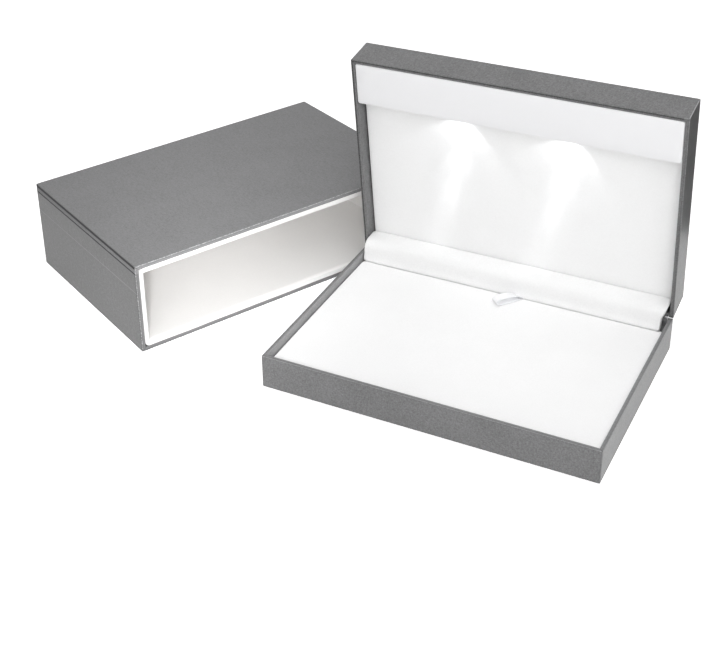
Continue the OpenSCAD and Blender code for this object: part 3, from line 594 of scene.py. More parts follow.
@dataclass(frozen=True)
class ClearGlass(Finish):
    """Thin drawn glass with a greenish body."""

    def nodes(self, graph: Graph) -> None:
        """Slight waves in the gloss."""
        wave = graph.drawn(Seat.LID, (4.0, 1.0, 1.0), 0.6)
        graph.surface(
            Base_Color=graph.blend(wave, tone(214, 232, 220), tone(232, 244, 238)),
            Roughness=0.05 + 0.08 * wave, Transmission_Weight=0.85, IOR=1.5,
        )


@dataclass(frozen=True)
class StudioFloor(Finish):
    """Plain near-white studio floor, with the faintest unevenness so that shadows lie softly."""

    def nodes(self, graph: Graph) -> None:
        """White paint; what the camera sees directly is lifted a little, with the shadow kept."""
        cloud = graph.noise(graph.place(Seat.TRAY), 0.004)
        lift = graph.blend(graph.rays_that_show(), (0.0, 0.0, 0.0, 1.0), (0.6, 0.6, 0.6, 1.0))
        graph.surface(
            Base_Color=graph.blend(cloud, tone(246), tone(252)), Roughness=0.9, Specular_IOR_Level=0.1,
            Emission_Color=lift, Emission_Strength=1.0,
        )


@dataclass(frozen=True)
class DarkCard(Finish):
    """Matt black studio card."""

    def nodes(self, graph: Graph) -> None:
        """Black paper with a faint tooth."""
        tooth = graph.noise(graph.place(Seat.TRAY), 1.5)
        graph.surface(Base_Color=graph.blend(tooth, tone(4), tone(12)), Roughness=0.95, Specular_IOR_Level=0.1)


# ---------------------------------------------------------------- meshes


class Form:
    """A mesh in the making, in the millimetres of its seat."""

    def __init__(self, seat: Seat) -> None:
        """Starts empty."""
        self.seat = seat
        self.bm = bmesh.new()

    def block(self, low: Sequence[float], high: Sequence[float]) -> None:
        """Adds a block between two corners."""
        lo, hi = Vector(low), Vector(high)
        matrix = Matrix.Translation((lo + hi) / 2) @ Matrix.Diagonal((*(hi - lo), 1.0))
        bmesh.ops.create_cube(self.bm, size=1.0, matrix=matrix)

    def face_towards(self, way: Sequence[float]) -> bmesh.types.BMFace:
        """The face that lies furthest one way and faces it."""
        self.bm.normal_update()
        aim = Vector(way)
        facing = [f for f in self.bm.faces if f.normal.dot(aim) > 0.9]
        return max(facing, key=lambda f: f.calc_center_median().dot(aim))

    def edges_where(self, test: Test) -> Edges:
        """The edges whose two ends pass a test."""
        return [e for e in self.bm.edges if test(e.verts[0].co) and test(e.verts[1].co)]

    def corners(self, test: Test) -> Edges:
        """The edges whose ends pass a test, and whose two faces meet at more than a radian."""
        return [e for e in self.edges_where(test) if len(e.link_faces) == 2 and e.calc_face_angle() > 1.0]

    def inset(self, face: bmesh.types.BMFace, width: float) -> None:
        """Draws a face in evenly from its edges."""
        bmesh.ops.inset_region(self.bm, faces=[face], thickness=width, use_even_offset=True)

    def extrude(self, face: bmesh.types.BMFace, way: Sequence[float]) -> bmesh.types.BMFace:
        """Extrudes a face along a way, and gives back the face that moved."""
        grown = bmesh.ops.extrude_face_region(self.bm, geom=[face])["geom"]
        verts = [g for g in grown if isinstance(g, bmesh.types.BMVert)]
        bmesh.ops.translate(self.bm, verts=verts, vec=way)
        return next(g for g in grown if isinstance(g, bmesh.types.BMFace))

    def bevel(self, edges: Iterable[bmesh.types.BMEdge], width: float, segments: int = 3) -> None:
        """Rounds edges.

        Args:
            edges: the edges.
            width: how far the rounding reaches, in mm.
            segments: faces across it.
        """
        bmesh.ops.bevel(
            self.bm, geom=list(edges), offset=width, offset_type="OFFSET", segments=segments,
            profile=0.5, affect="EDGES", material=-1, clamp_overlap=True,
        )

    def slices(self, axis: int, places: Iterable[float]) -> None:
        """Cuts every face across one axis at each place, and keeps both sides."""
        way = Vector([float(i == axis) for i in range(3)])
        for at in places:
            geom = self.bm.verts[:] + self.bm.edges[:] + self.bm.faces[:]
            bmesh.ops.bisect_plane(self.bm, geom=geom, dist=1e-5, plane_co=at * way, plane_no=way)

    def drop_faces(self, test: Test) -> None:
        """Removes the faces whose middle passes a test, and what they leave loose."""
        faces = [f for f in self.bm.faces if test(f.calc_center_median())]
        bmesh.ops.delete(self.bm, geom=faces, context="FACES")

    def move(self, shift: Callable[[Vector], Sequence[float]], where: Test = lambda point: True) -> None:
        """Moves each vertex that passes a test by what shift says."""
        for vert in self.bm.verts:
            if where(vert.co):
                vert.co += Vector(shift(vert.co))

    def half_turn(self, axis: str, middle: Sequence[float]) -> None:
        """Turns the form half round an axis through a point."""
        turn = Matrix.Rotation(math.pi, 3, axis)
        bmesh.ops.rotate(self.bm, verts=self.bm.verts[:], cent=middle, matrix=turn)

    def merge(self) -> None:
        """Merges doubles."""
        bmesh.ops.remove_doubles(self.bm, verts=self.bm.verts[:], dist=1e-4)

    def face_out(self) -> None:
        """Turns the faces outwards."""
        bmesh.ops.recalc_face_normals(self.bm, faces=self.bm.faces[:])

    def piece(self, name: str, sharp: float = 32.0) -> bpy.types.Object:
        """Puts the mesh in its place, in metres, as an object at the origin.

        Args:
            name: the object's name.
            sharp: the angle in degrees past which an edge stays sharp.

        Returns:
            The object.
        """
        self.bm.transform(self.seat.matrix)
        mesh = bpy.data.meshes.new(name)
        self.bm.to_mesh(mesh)
        self.bm.free()
        mesh.polygons.foreach_set("use_smooth", [True] * len(mesh.polygons))
        mesh.set_sharp_from_angle(angle=math.radians(sharp))
        return placed(name, mesh)


def modifier(obj: bpy.types.Object, kind: str, **settings: object) -> bpy.types.Modifier:
    """Adds a modifier of a type to a piece, with its settings, and returns it."""
    return settle(obj.modifiers.new(kind.title(), kind), **settings)


def thicken(obj: bpy.types.Object, thickness: float) -> None:
    """Gives a paper skin its thickness in mm inwards, and lets its large faces keep their own shading."""
    modifier(obj, "SOLIDIFY", thickness=thickness * MM, offset=-1.0)
    modifier(obj, "WEIGHTED_NORMAL", mode="FACE_AREA", weight=100, keep_sharp=True)


def subdivide(obj: bpy.types.Object, levels: int = 1) -> None:
    """Adds a Subdivision Surface of equal view and render levels."""
    modifier(obj, "SUBSURF", levels=levels, render_levels=levels, use_limit_surface=False)


def ease(value: float) -> float:
    """Smooth step of a share from 0 to 1."""
    held = min(1.0, max(0.0, value))
    return held * held * (3 - 2 * held)


def spaced(low: float, high: float, step: float) -> list[float]:
    """Even places strictly between two ends, about step apart."""
    count = max(1, round((high - low) / step))
    return [low + (high - low) * k / count for k in range(1, count)]


def puff(obj: bpy.types.Object, held: Test, rise: float) -> None:
    """Swells a pad with a short cloth run, scaled so that it rises by a set amount.

    Args:
        obj: the pad, in metres.
        held: says which points, in metres, are glued down.
        rise: the largest move in metres.
    """
    mesh, scene = obj.data, bpy.context.scene
    rest = [v.co.copy() for v in mesh.vertices]
    group = obj.vertex_groups.new(name="glued")
    group.add([v.index for v in mesh.vertices if held(v.co)], 1.0, "REPLACE")
    cloth = modifier(obj, "CLOTH")
    settle(
        cloth.settings, quality=6, mass=0.2, tension_stiffness=20, compression_stiffness=20,
        shear_stiffness=8, bending_stiffness=2, use_pressure=True, uniform_pressure_force=4,
        vertex_group_mass="glued",
    )
    cloth.settings.effector_weights.gravity = 0
    for step in range(1, 21):
        scene.frame_set(step)
    shown = obj.evaluated_get(bpy.context.evaluated_depsgraph_get())
    moved = [v.co.copy() for v in shown.data.vertices]
    obj.modifiers.remove(cloth)
    obj.vertex_groups.clear()
    scene.frame_set(1)
    largest = max((m - r).length for m, r in zip(moved, rest))
    share = min(rise / largest, 1.0) if largest > 1e-7 else 0.0
    LOG.info("%s: cloth moved %.2f mm, kept at %.2f mm", obj.name, largest / MM, rise / MM)
    for vert, was, now in zip(mesh.vertices, rest, moved):
        vert.co = was + (now - was) * share


@dataclass
class Workshop:
    """Dresses finished pieces and CAD nodes, and keeps count of them."""

    made: list[str] = field(default_factory=list)

    def fit(self, obj: bpy.types.Object, finish: Finish, body: str, slot: str, *nodes: str) -> None:
        """Gives a new piece its finish, its body and the CAD nodes that it stands for.

        Args:
            obj: the piece.
            finish: its finish.
            body: the body that it rides on, or "" to leave it unattached.
            slot: not used.
            nodes: the CAD nodes that it replaces.
        """
        obj.data.materials.clear()
        obj.data.materials.append(finish.material())
        if body:
            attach(obj, body)
        if nodes:
            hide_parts(*nodes)
        self.made.append(obj.name)
        LOG.info("%s: %d faces, %s", obj.name, len(obj.data.polygons), finish.name)

    def dress(self, finish: Finish, *nodes: str) -> None:
        """Gives carried-over CAD nodes a finish."""
        for name in nodes:
            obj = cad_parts[name]
            if not obj.material_slots:
                obj.data.materials.append(finish.material())
            for entry in obj.material_slots:
                entry.material = finish.material()
            self.made.append(name)
            LOG.info("%s: %s", name, finish.name)


# ---------------------------------------------------------------- case: shared parts


@dataclass
class PaperBox:
    """Covering paper round an open box of boards: walls, rim, turn-in and the flange under it."""

    width: float = 236.0
    depth: float = 163.0
    wall: float = 2.8
    hinge_at: float = 99.4
    hinge_half: float = 15.3
    notch_outside: float = 1.7
    notch_inside: float = 0.7

    def shell(self, height: float, flange: float, seat: Seat) -> Form:
        """Builds the paper as one skin that stands on z = 0 with its rim up.

        Args:
            height: from the underside to the rim.
            flange: width of the paper under the base, or 0 for a full panel.
            seat: the frame it is measured in.

        Returns:
            The form, centred on x and y.
        """
        form = Form(seat)
        half_w, half_d = self.width / 2, self.depth / 2
        inner_w, inner_d = half_w - self.wall - 1, half_d - self.wall - 1

        def outside(point: Vector, slack: float) -> bool:
            """Whether a point lies on the outer walls."""
            return abs(point.x) > half_w - slack or abs(point.y) > half_d - slack

        form.block((-half_w, -half_d, 0.0), (half_w, half_d, height))
        rim = form.face_towards((0, 0, 1))
        form.inset(rim, self.wall)
        form.extrude(rim, (0, 0, -TURN_IN))
        form.drop_faces(lambda p: abs(p.x) < inner_w and abs(p.y) < inner_d and p.z > 1)
        if flange:
            form.inset(form.face_towards((0, 0, -1)), flange)
            form.drop_faces(lambda p: abs(p.x) < 1 and abs(p.y) < 1 and p.z < 1)
        form.bevel(form.corners(lambda p: outside(p, 0.01) and p.z > height - 0.01), 0.25, 2)
        standing = form.corners(lambda p: outside(p, 0.3))
        form.bevel([e for e in standing if not all(v.co.z > height - 0.4 for v in e.verts)], 0.5)
        form.bevel(form.corners(lambda p: abs(p.z - height) < 0.01), 0.3, 2)
        for at in (-self.hinge_at, self.hinge_at):
            form.slices(0, (at - self.hinge_half, at + self.hinge_half))
        form.slices(2, (height - self.notch_outside, height - self.notch_inside))
        form.drop_faces(lambda p: self._notched(p, height))
        form.slices(0, spaced(-half_w + 1, half_w - 1, 16.0))
        form.slices(1, spaced(-half_d + 1, half_d - 1, 16.0))
        form.merge()
        return form

    def _notched(self, point: Vector, height: float) -> bool:
        """Whether a face's middle lies where a hinge passes through the back rim."""
        if abs(abs(point.x) - self.hinge_at) > self.hinge_half or point.y < self.depth / 2 - self.wall - 0.4:
            return False
        deep = self.notch_outside if point.y > self.depth / 2 - 0.3 else self.notch_inside
        return point.z > height - deep


def cushion(low: Triple, high: Triple, seat: Seat, up: float, edge: float, step: float = 5.0) -> Form:
    """A pad with rounded upper edges and even faces.

    Args:
        low: its lowest corner.
        high: its highest corner.
        seat: the frame it is measured in.
        up: 1 or -1, the way along z that its face looks.
        edge: rounding of the face's edges.
        step: size of its faces.

    Returns:
        The form.
    """
    form = Form(seat)
    form.block(low, high)
    top = high[2] if up > 0 else low[2]
    form.bevel(form.edges_where(lambda p: abs(p.z - top) < 0.01), edge, 4)
    for axis in (0, 1):
        form.slices(axis, spaced(low[axis] + edge, high[axis] - edge, step))
    form.bm.normal_update()
    return form


# ---------------------------------------------------------------- tray


@dataclass
class Tray:
    """The lower half of the case."""

    shop: Workshop
    felt: float = 0.6
    rim: float = 25.38
    flange: float = 15.0
    pad_low: Triple = (-114.8, -78.3, 5.05)
    pad_high: Triple = (114.8, 70.84, 19.5)
    crown: float = 0.8
    cove_half: float = 114.7
    ribbon_wide: float = 7.0
    ribbon_thick: float = 0.3

    def build(self) -> None:
        """Makes and dresses every piece of the tray."""
        self.wrap()
        self.pad()
        self.back_padding()
        self.ribbon()
        self.shop.dress(
            Greyboard("greyboard_tray", Seat.TRAY), "tray_base_board", "tray_front_wall", "tray_back_wall",
            "tray_left_wall", "tray_right_wall", "display_pad_board",
        )
        self.shop.dress(Felt("pressed_felt"), "tray_felt")
        self.shop.dress(
            PlatedSteel("plated_steel_tray", Seat.TRAY), "hinge_tray_leaf_left", "hinge_tray_leaf_right",
            "tray_leaf_rivets", "hinge_pins", "lamp_magnet",
        )

    def wrap(self) -> None:
        """The covering paper, with its flange under the base."""
        box = PaperBox()
        form = box.shell(self.rim - self.felt, self.flange, Seat.TRAY)
        form.move(lambda p: (0, 0, self.felt))
        obj = form.piece("tray_covering_paper")
        thicken(obj, 0.35)
        half = (self.rim - self.felt) / 2
        # The tray's rim and turned-in walls are painted lighter (painted light), and its rim's outer edge
        # darker (painted shade).
        finish = CoveringPaper(
            "grey_paper_tray", Seat.TRAY, (0.0, 0.0, self.felt + half), (box.width / 2, box.depth / 2, half),
            rim_edge_shade=0.3, rim_painted_light=0.2, inside_painted_light=0.17,
            seams=((1, -80.6, 0.16, 0.35), (1, 80.6, 0.16, 0.35)),
        )
        self.shop.fit(obj, finish, "tray", "grey_paper", "tray_wrap")

    def pad(self) -> None:
        """The display pad, swollen over its foam and drawn in a little at the foot of its short sides."""
        low, high = self.pad_low, self.pad_high
        form = cushion(low, high, Seat.TRAY, 1, 0.9)
        form.move(
            lambda p: (-0.25 * math.copysign(1, p.x) * ease((12 - p.z) / 8), 0, 0),
            where=lambda p: abs(p.x) > 110,
        )
        obj = form.piece("display_cushion")
        puff(
            obj, lambda p: p.z < 17.2 * MM, self.crown * MM,
        )
        subdivide(obj)
        cloth = NappedCloth("white_cloth_tray", Seat.TRAY, wrinkle=0.5)
        self.shop.fit(obj, cloth, "tray", "white_cloth", "display_pad")

    def back_padding(self) -> None:
        """The cove under the roll and the strip below it."""
        form = Form(Seat.TRAY)
        new, back = form.bm.verts.new, HINGE_Y - 4.25
        first = new((-self.cove_half, HINGE_Y - 8 * math.cos(math.radians(30)), HINGE_Z + 4.0))
        bmesh.ops.spin(
            form.bm, geom=[first], cent=(0, HINGE_Y, HINGE_Z), axis=(1, 0, 0), angle=math.radians(88), steps=16,
        )
        ring = sorted(form.bm.verts, key=lambda v: math.atan2(v.co.z - HINGE_Z, HINGE_Y - v.co.y), reverse=True)
        low = new((-self.cove_half, back, ring[-1].co.z))
        high = new((-self.cove_half, back, HINGE_Z + 2.5))
        form.extrude(form.bm.faces.new([*ring, low, high]), (2 * self.cove_half, 0, 0))
        form.merge()
        form.face_out()
        form.slices(0, spaced(-114.0, 114.0, 12.0))
        form.move(lambda p: (-7.0, 0, 0), where=lambda p: p.x > 114.5)
        cove = form.piece("back_cove_padding", 40)
        cloth = NappedCloth("white_cloth_back", Seat.TRAY)
        self.shop.fit(cove, cloth, "tray", "white_cloth", "tray_back_cove")
        strip = cushion((-114.8, 72.44, 3.05), (114.8, 77.2, 16.3), Seat.TRAY, 1, 1.5, 8.0)
        ledge = strip.piece("back_ledge_padding", 40)
        subdivide(ledge)
        self.shop.fit(ledge, cloth, "tray", "white_cloth", "tray_back_ledge")

    def ribbon(self) -> None:
        """The doubled ribbon: out from behind the pad, forward over it, and back above itself.

        Each point of the route is x, y and z from the pad's back edge, and the turn of the width.
        """
        route = (
            (9.0, 0.45, -11, 0), (9.0, 0.45, -2.2, 0), (8.9, 0.05, -0.8, 2), (8.5, -0.9, 0.2, 8),
            (7.9, -2.3, 0.5, 16), (6.1, -5.8, 0.65, 28), (2.8, -10.6, 0.8, 36), (-0.4, -14.6, 1.1, 40),
            (-2.2, -16.8, 2.0, 41), (-2.8, -17.5, 3.4, 41), (-2.1, -16.6, 5.0, 41), (0.2, -13.9, 6.0, 40),
            (3.9, -9.6, 6.1, 36), (7.1, -5.8, 5.2, 28), (9.3, -2.7, 3.3, 15), (10.1, -1.0, 1.1, 6),
            (10.4, 0.45, -0.7, 2), (10.4, 1.1, -2.2, 0), (10.4, 1.1, -11, 0),
        )
        form = Form(Seat.TRAY)
        verts, half = form.bm.verts, self.ribbon_wide / 2
        layer = form.bm.loops.layers.uv.new("strip")
        length = verts.layers.float.new("along")
        side = verts.layers.float.new("over")
        run, last, edge = 0.0, None, None
        for x, y, z, turn in route:
            mid = Vector((x, self.pad_high[1] + y, self.pad_high[2] + z))
            across = Vector((math.cos(math.radians(turn)), -math.sin(math.radians(turn)), 0.0))
            if edge is None:
                ends = [verts.new(mid - across * half), verts.new(mid + across * half)]
                edge = form.bm.edges.new(ends)
            else:
                run += (mid - last).length
                grown = bmesh.ops.extrude_edge_only(form.bm, edges=[edge])["geom"]
                edge = next(
                    g for g in grown if isinstance(g, bmesh.types.BMEdge) and all(v in grown for v in g.verts)
                )
                ends = sorted(edge.verts, key=lambda v: v.co.dot(before))
                ends[0].co, ends[1].co = mid - across * half, mid + across * half
            last, before = mid, across
            for end, over in zip(ends, (0.0, self.ribbon_wide)):
                end[length], end[side] = run, over
        form.face_out()
        cross = [e for e in form.bm.edges if abs(e.verts[0][length] - e.verts[1][length]) < 1e-6]
        bmesh.ops.subdivide_edges(form.bm, edges=cross, cuts=2)
        for face in form.bm.faces:
            for loop in face.loops:
                loop[layer].uv = (loop.vert[length], loop.vert[side])
        obj = form.piece("ribbon_pull_strip", 80)
        subdivide(obj, 2)
        modifier(obj, "SOLIDIFY", thickness=self.ribbon_thick * MM, offset=0.0)
        self.shop.fit(obj, SatinRibbon("white_satin_ribbon"), "tray", "white_satin", "ribbon_pull")
        LOG.info("ribbon: %.0f mm long, %.0f mm wide", run, self.ribbon_wide)


# ---------------------------------------------------------------- lid


@dataclass(frozen=True)
class Ray:
    """One share of a lamp's light: cone and slope in degrees, power in watts, its tip in mm off the lens."""

    name: str
    cone: float
    blend: float
    power: float
    tip: float
    slope: float
    aside: float


@dataclass
class Lid:
    """The upper half of the case, open on its hinge, with its lamps."""

    shop: Workshop
    height: float = 26.0
    half_gap: float = 0.12
    roll_half: float = 114.6
    lamp_x: float = 38.7
    lamp_y: float = -129.5
    lamp_z: float = 6.0
    rays: tuple[Ray, ...] = (
        Ray("far", 15.0, 1.0, 0.11, -3.0, 10.0, 5.0),
        Ray("beam", 34.0, 1.0, 0.036, -3.0, 18.0, 5.0),
        Ray("spill", 100.0, 0.15, 0.01, -3.0, 32.0, 2.0),
        Ray("fan", 158.0, 0.3, 0.0009, 4.6, 30.0, 0.0),
    )

    def build(self) -> None:
        """Makes and dresses every piece of the lid."""
        self.wrap()
        self.pad()
        self.roll()
        self.bar()
        for side, name in ((-1, "left"), (1, "right")):
            self.lamp(side, name)
        for finish, *nodes in (
            (Greyboard("greyboard_lid", Seat.LID), "lid_panel_board", "lid_front_wall", "lid_back_wall",
             "lid_left_wall", "lid_right_wall", "lid_pad_board"),
            (PlatedSteel("plated_steel_lid", Seat.LID), "hinge_lid_leaf_left", "hinge_lid_leaf_right",
             "lid_leaf_rivets", "cell_spring_clips", "board_screws"),
            (PlatedSteel("button_cell_steel", Seat.LID, tone(222, 222, 220), 0.16), "button_cells"),
            (MouldedPlastic("white_moulding"), "lamp_housing"),
            (MouldedPlastic("black_moulding", tone(38, 38, 40), tone(26, 26, 28), 0.38), "cell_holder"),
            (CircuitLaminate("green_laminate"), "lamp_board"),
            (ClearGlass("reed_glass"), "reed_switch"),
        ):
            self.shop.dress(finish, *nodes)

    def wrap(self) -> None:
        """The covering paper, which covers the lid's panel too. Its notches end up at the hinge."""
        box, height = PaperBox(), self.height - self.half_gap
        form = box.shell(height, 0.0, Seat.LID)
        form.half_turn("X", (0, 0, 0))
        form.move(lambda p: (0, -box.depth / 2, self.height))
        form.half_turn("Z", (0, -box.depth / 2, 0))
        obj = form.piece("lid_covering_paper")
        thicken(obj, 0.35)
        # The lid's paper is painted a little darker, and its rim's outer edge darker still: painted shade.
        finish = CoveringPaper(
            "grey_paper_lid", Seat.LID, (0.0, -box.depth / 2, self.half_gap + height / 2),
            (box.width / 2, box.depth / 2, height / 2), rim_side=-1.0, rim_edge_shade=0.85, painted_tone_shift=-0.1,
            # the second line is a painted highlight along the lid's right edge
            seams=((1, -1.0, 0.16, 0.3), (0, 117.6, 0.34, -0.6)),
        )
        self.shop.fit(obj, finish, "lid", "grey_paper", "lid_wrap")

    def pad(self) -> None:
        """The pad behind the lamps' light."""
        obj = cushion((-114.8, -127.8, 11.1), (114.8, -3.2, 21.55), Seat.LID, -1, 1.5).piece("lid_cushion")
        back = Seat.LID.matrix.inverted()
        puff(
            obj, lambda p: (back @ p).z > 12.9, 0.3 * MM,
        )
        subdivide(obj)
        # painted light: the lid pad's cloth is a lighter copy of the white cloth
        cloth = NappedCloth("white_cloth_lid", Seat.LID, tone(254), tone(246), 1.3, 0.07)
        self.shop.fit(obj, cloth, "lid", "white_cloth", "lid_pad")

    def roll(self) -> None:
        """The soft roll over the hinge. Its skirt goes down behind the display pad."""
        outer = (
            (9.4, 10.8), (4.5, 10.8), (-0.5, 10.72), (-3.0, 10.5), (-5.3, 9.75), (-7.3, 8.3), (-8.6, 6.3),
            (-9.2, 4.2), (-9.5, 1.5), (-9.8, -1.5), (-10.45, -4.2), (-10.62, -6.2), (-9.6, -7.8),
            (-7.6, -8.55), (-6.0, -8.65),
        )
        inner = (
            (-5.2, -6.5), (-7.4, -3.8), (-8.25, -0.9), (-8.2, 1.4), (-7.0, 4.4), (-4.6, 4.4), (-3.6, 3.2),
            (3.0, 3.9), (9.4, 4.4),
        )
        form = Form(Seat.TRAY)
        ring = [form.bm.verts.new((-self.roll_half, HINGE_Y + y, HINGE_Z + z)) for y, z in outer + inner]
        start = face = form.bm.faces.new(ring)
        ends = [self.roll_half - inset for inset in (0.0, 0.4, 1.4)]
        stations = [*(-x for x in ends), *spaced(-112.0, 112.0, 7.0), *reversed(ends)]
        for before, after in zip(stations, stations[1:]):
            old, face = face, form.extrude(face, (after - before, 0, 0))
            if old is not start:
                bmesh.ops.delete(form.bm, geom=[old], context="FACES_ONLY")
        centre = Vector((0, 77.0, 27.0))
        for vert in form.bm.verts:
            draw = 1.0 - 0.1 * (1 - ease((self.roll_half - abs(vert.co.x)) / 3.0)) ** 2
            vert.co.y = centre.y + (vert.co.y - centre.y) * draw if vert.co.y < centre.y else vert.co.y
            vert.co.z = centre.z + (vert.co.z - centre.z) * draw
        form.merge()
        form.face_out()
        form.move(
            lambda p: Vector((0, 0.12, 0.16)) * noise.noise(Vector((p.x * 0.03, 0, p.z * 0.06))),
            where=lambda p: p.y < 88,
        )
        form.move(lambda p: (-3.4 * ease((p.x - 106) / 8) * ease((37 - p.z) / 9), 0, 0))
        obj = form.piece("hinge_roll_cloth", 60)
        subdivide(obj)
        # painted shade: the roll's cloth is a darker copy of the white cloth, against the lamps' light on it
        cloth = NappedCloth("white_cloth_roll", Seat.TRAY, tone(249), tone(238), 1.4, 0.06)
        self.shop.fit(obj, cloth, "", "white_cloth", "hinge_roll")
        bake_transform(obj)

    def bar(self) -> None:
        """The padded front of the lamp bar, a little hollow in its middle."""
        form = Form(Seat.LID)
        form.block((-115.0, -160.0, 0.2), (115.0, -128.1, 2.2))
        form.bevel([e for e in form.bm.edges if abs(e.verts[0].co.z - e.verts[1].co.z) > 1], 1.5, 5)
        form.bevel(form.edges_where(lambda p: abs(p.z - 0.2) < 0.01), 0.8, 3)
        form.slices(0, spaced(-113.0, 113.0, 6.0))
        form.slices(1, spaced(-158.0, -130.0, 5.0))
        form.move(
            lambda p: (0, 0, -0.25 * (1 - (p.x / 115) ** 4) * (1 - ((p.y + 144) / 16) ** 2)),
            where=lambda p: p.z < 1.0,
        )
        obj = form.piece("lamp_bar_front", 50)
        self.shop.fit(obj, Leatherette("white_leatherette"), "lid", "white_leatherette", "lamp_bar_cover")

    def lamp(self, side: int, name: str) -> None:
        """One lamp: a domed lens with its flange, two legs bent to the board, and its light.

        Args:
            side: -1 for the left one, 1 for the right one.
            name: left or right.
        """
        form = Form(Seat.LID)
        x, y, z = side * self.lamp_x, self.lamp_y, self.lamp_z
        dome = [math.radians(15 * k) for k in range(1, 6)]
        profile = [
            (0.0, -1.0), (2.9, -1.0), (2.9, 0.0), (2.5, 0.0), (2.5, 2.2),
            *((2.5 * math.cos(a), 2.2 + 2.5 * math.sin(a)) for a in dome), (0.0, 4.7),
        ]
        verts = [form.bm.verts.new((x + r, y + h, z)) for r, h in profile]
        edges = [form.bm.edges.new(pair) for pair in zip(verts, verts[1:])]
        bmesh.ops.spin(
            form.bm, geom=[*verts, *edges], cent=(x, y, z), axis=(0, 1, 0),
            angle=2 * math.pi, steps=40, use_merge=True,
        )
        form.merge()
        form.face_out()
        lens = form.piece(f"lamp_lens_{name}", 40)
        self.shop.fit(lens, LampLens("clear_lens_lit"), "lid", "clear_lens", f"lamp_{name}")
        legs = Form(Seat.LID)
        for leg in (-1.27, 1.27):
            legs.block((x + leg - 0.25, -135.3, 5.75), (x + leg + 0.25, -130.5, 6.25))
            legs.block((x + leg - 0.25, -135.3, 6.25), (x + leg + 0.25, -134.8, 9.2))
        legs.bevel(legs.bm.edges[:], 0.08, 2)
        wires = legs.piece(f"lamp_legs_{name}")
        self.shop.fit(wires, PlatedSteel("tinned_wire", Seat.LID, tone(214), 0.3), "lid", "plated_steel")
        self.glow(lens, x, name)

    def glow(self, lens: bpy.types.Object, x: float, name: str) -> None:
        """The lamp's light: a narrow share for the pad's far end, wider ones nearer, and a weak wide fan.

        Args:
            lens: the lens that carries the light.
            x: its place along the hinge.
            name: left or right.
        """
        reach = 97.0
        for ray in self.rays:
            light = settle(
                bpy.data.lights.new(f"{ray.name}_{name}", "SPOT"), energy=ray.power,
                spot_size=math.radians(ray.cone), spot_blend=ray.blend, shadow_soft_size=1.2 * MM,
                color=(0.97, 0.985, 1.0),
            )
            obj = placed(light.name, light)
            start = Vector((x + ray.aside, -124.2, ray.tip))
            end = start + Vector((-25.0, reach, reach * math.tan(math.radians(ray.slope))))
            tip, aim = Seat.LID.matrix @ start, Seat.LID.matrix @ end
            shine(obj, tip, aim - tip)
            bpy.context.view_layer.update()
            obj.parent = lens
            obj.matrix_parent_inverse = Matrix.Identity(4)


# ---------------------------------------------------------------- sleeve


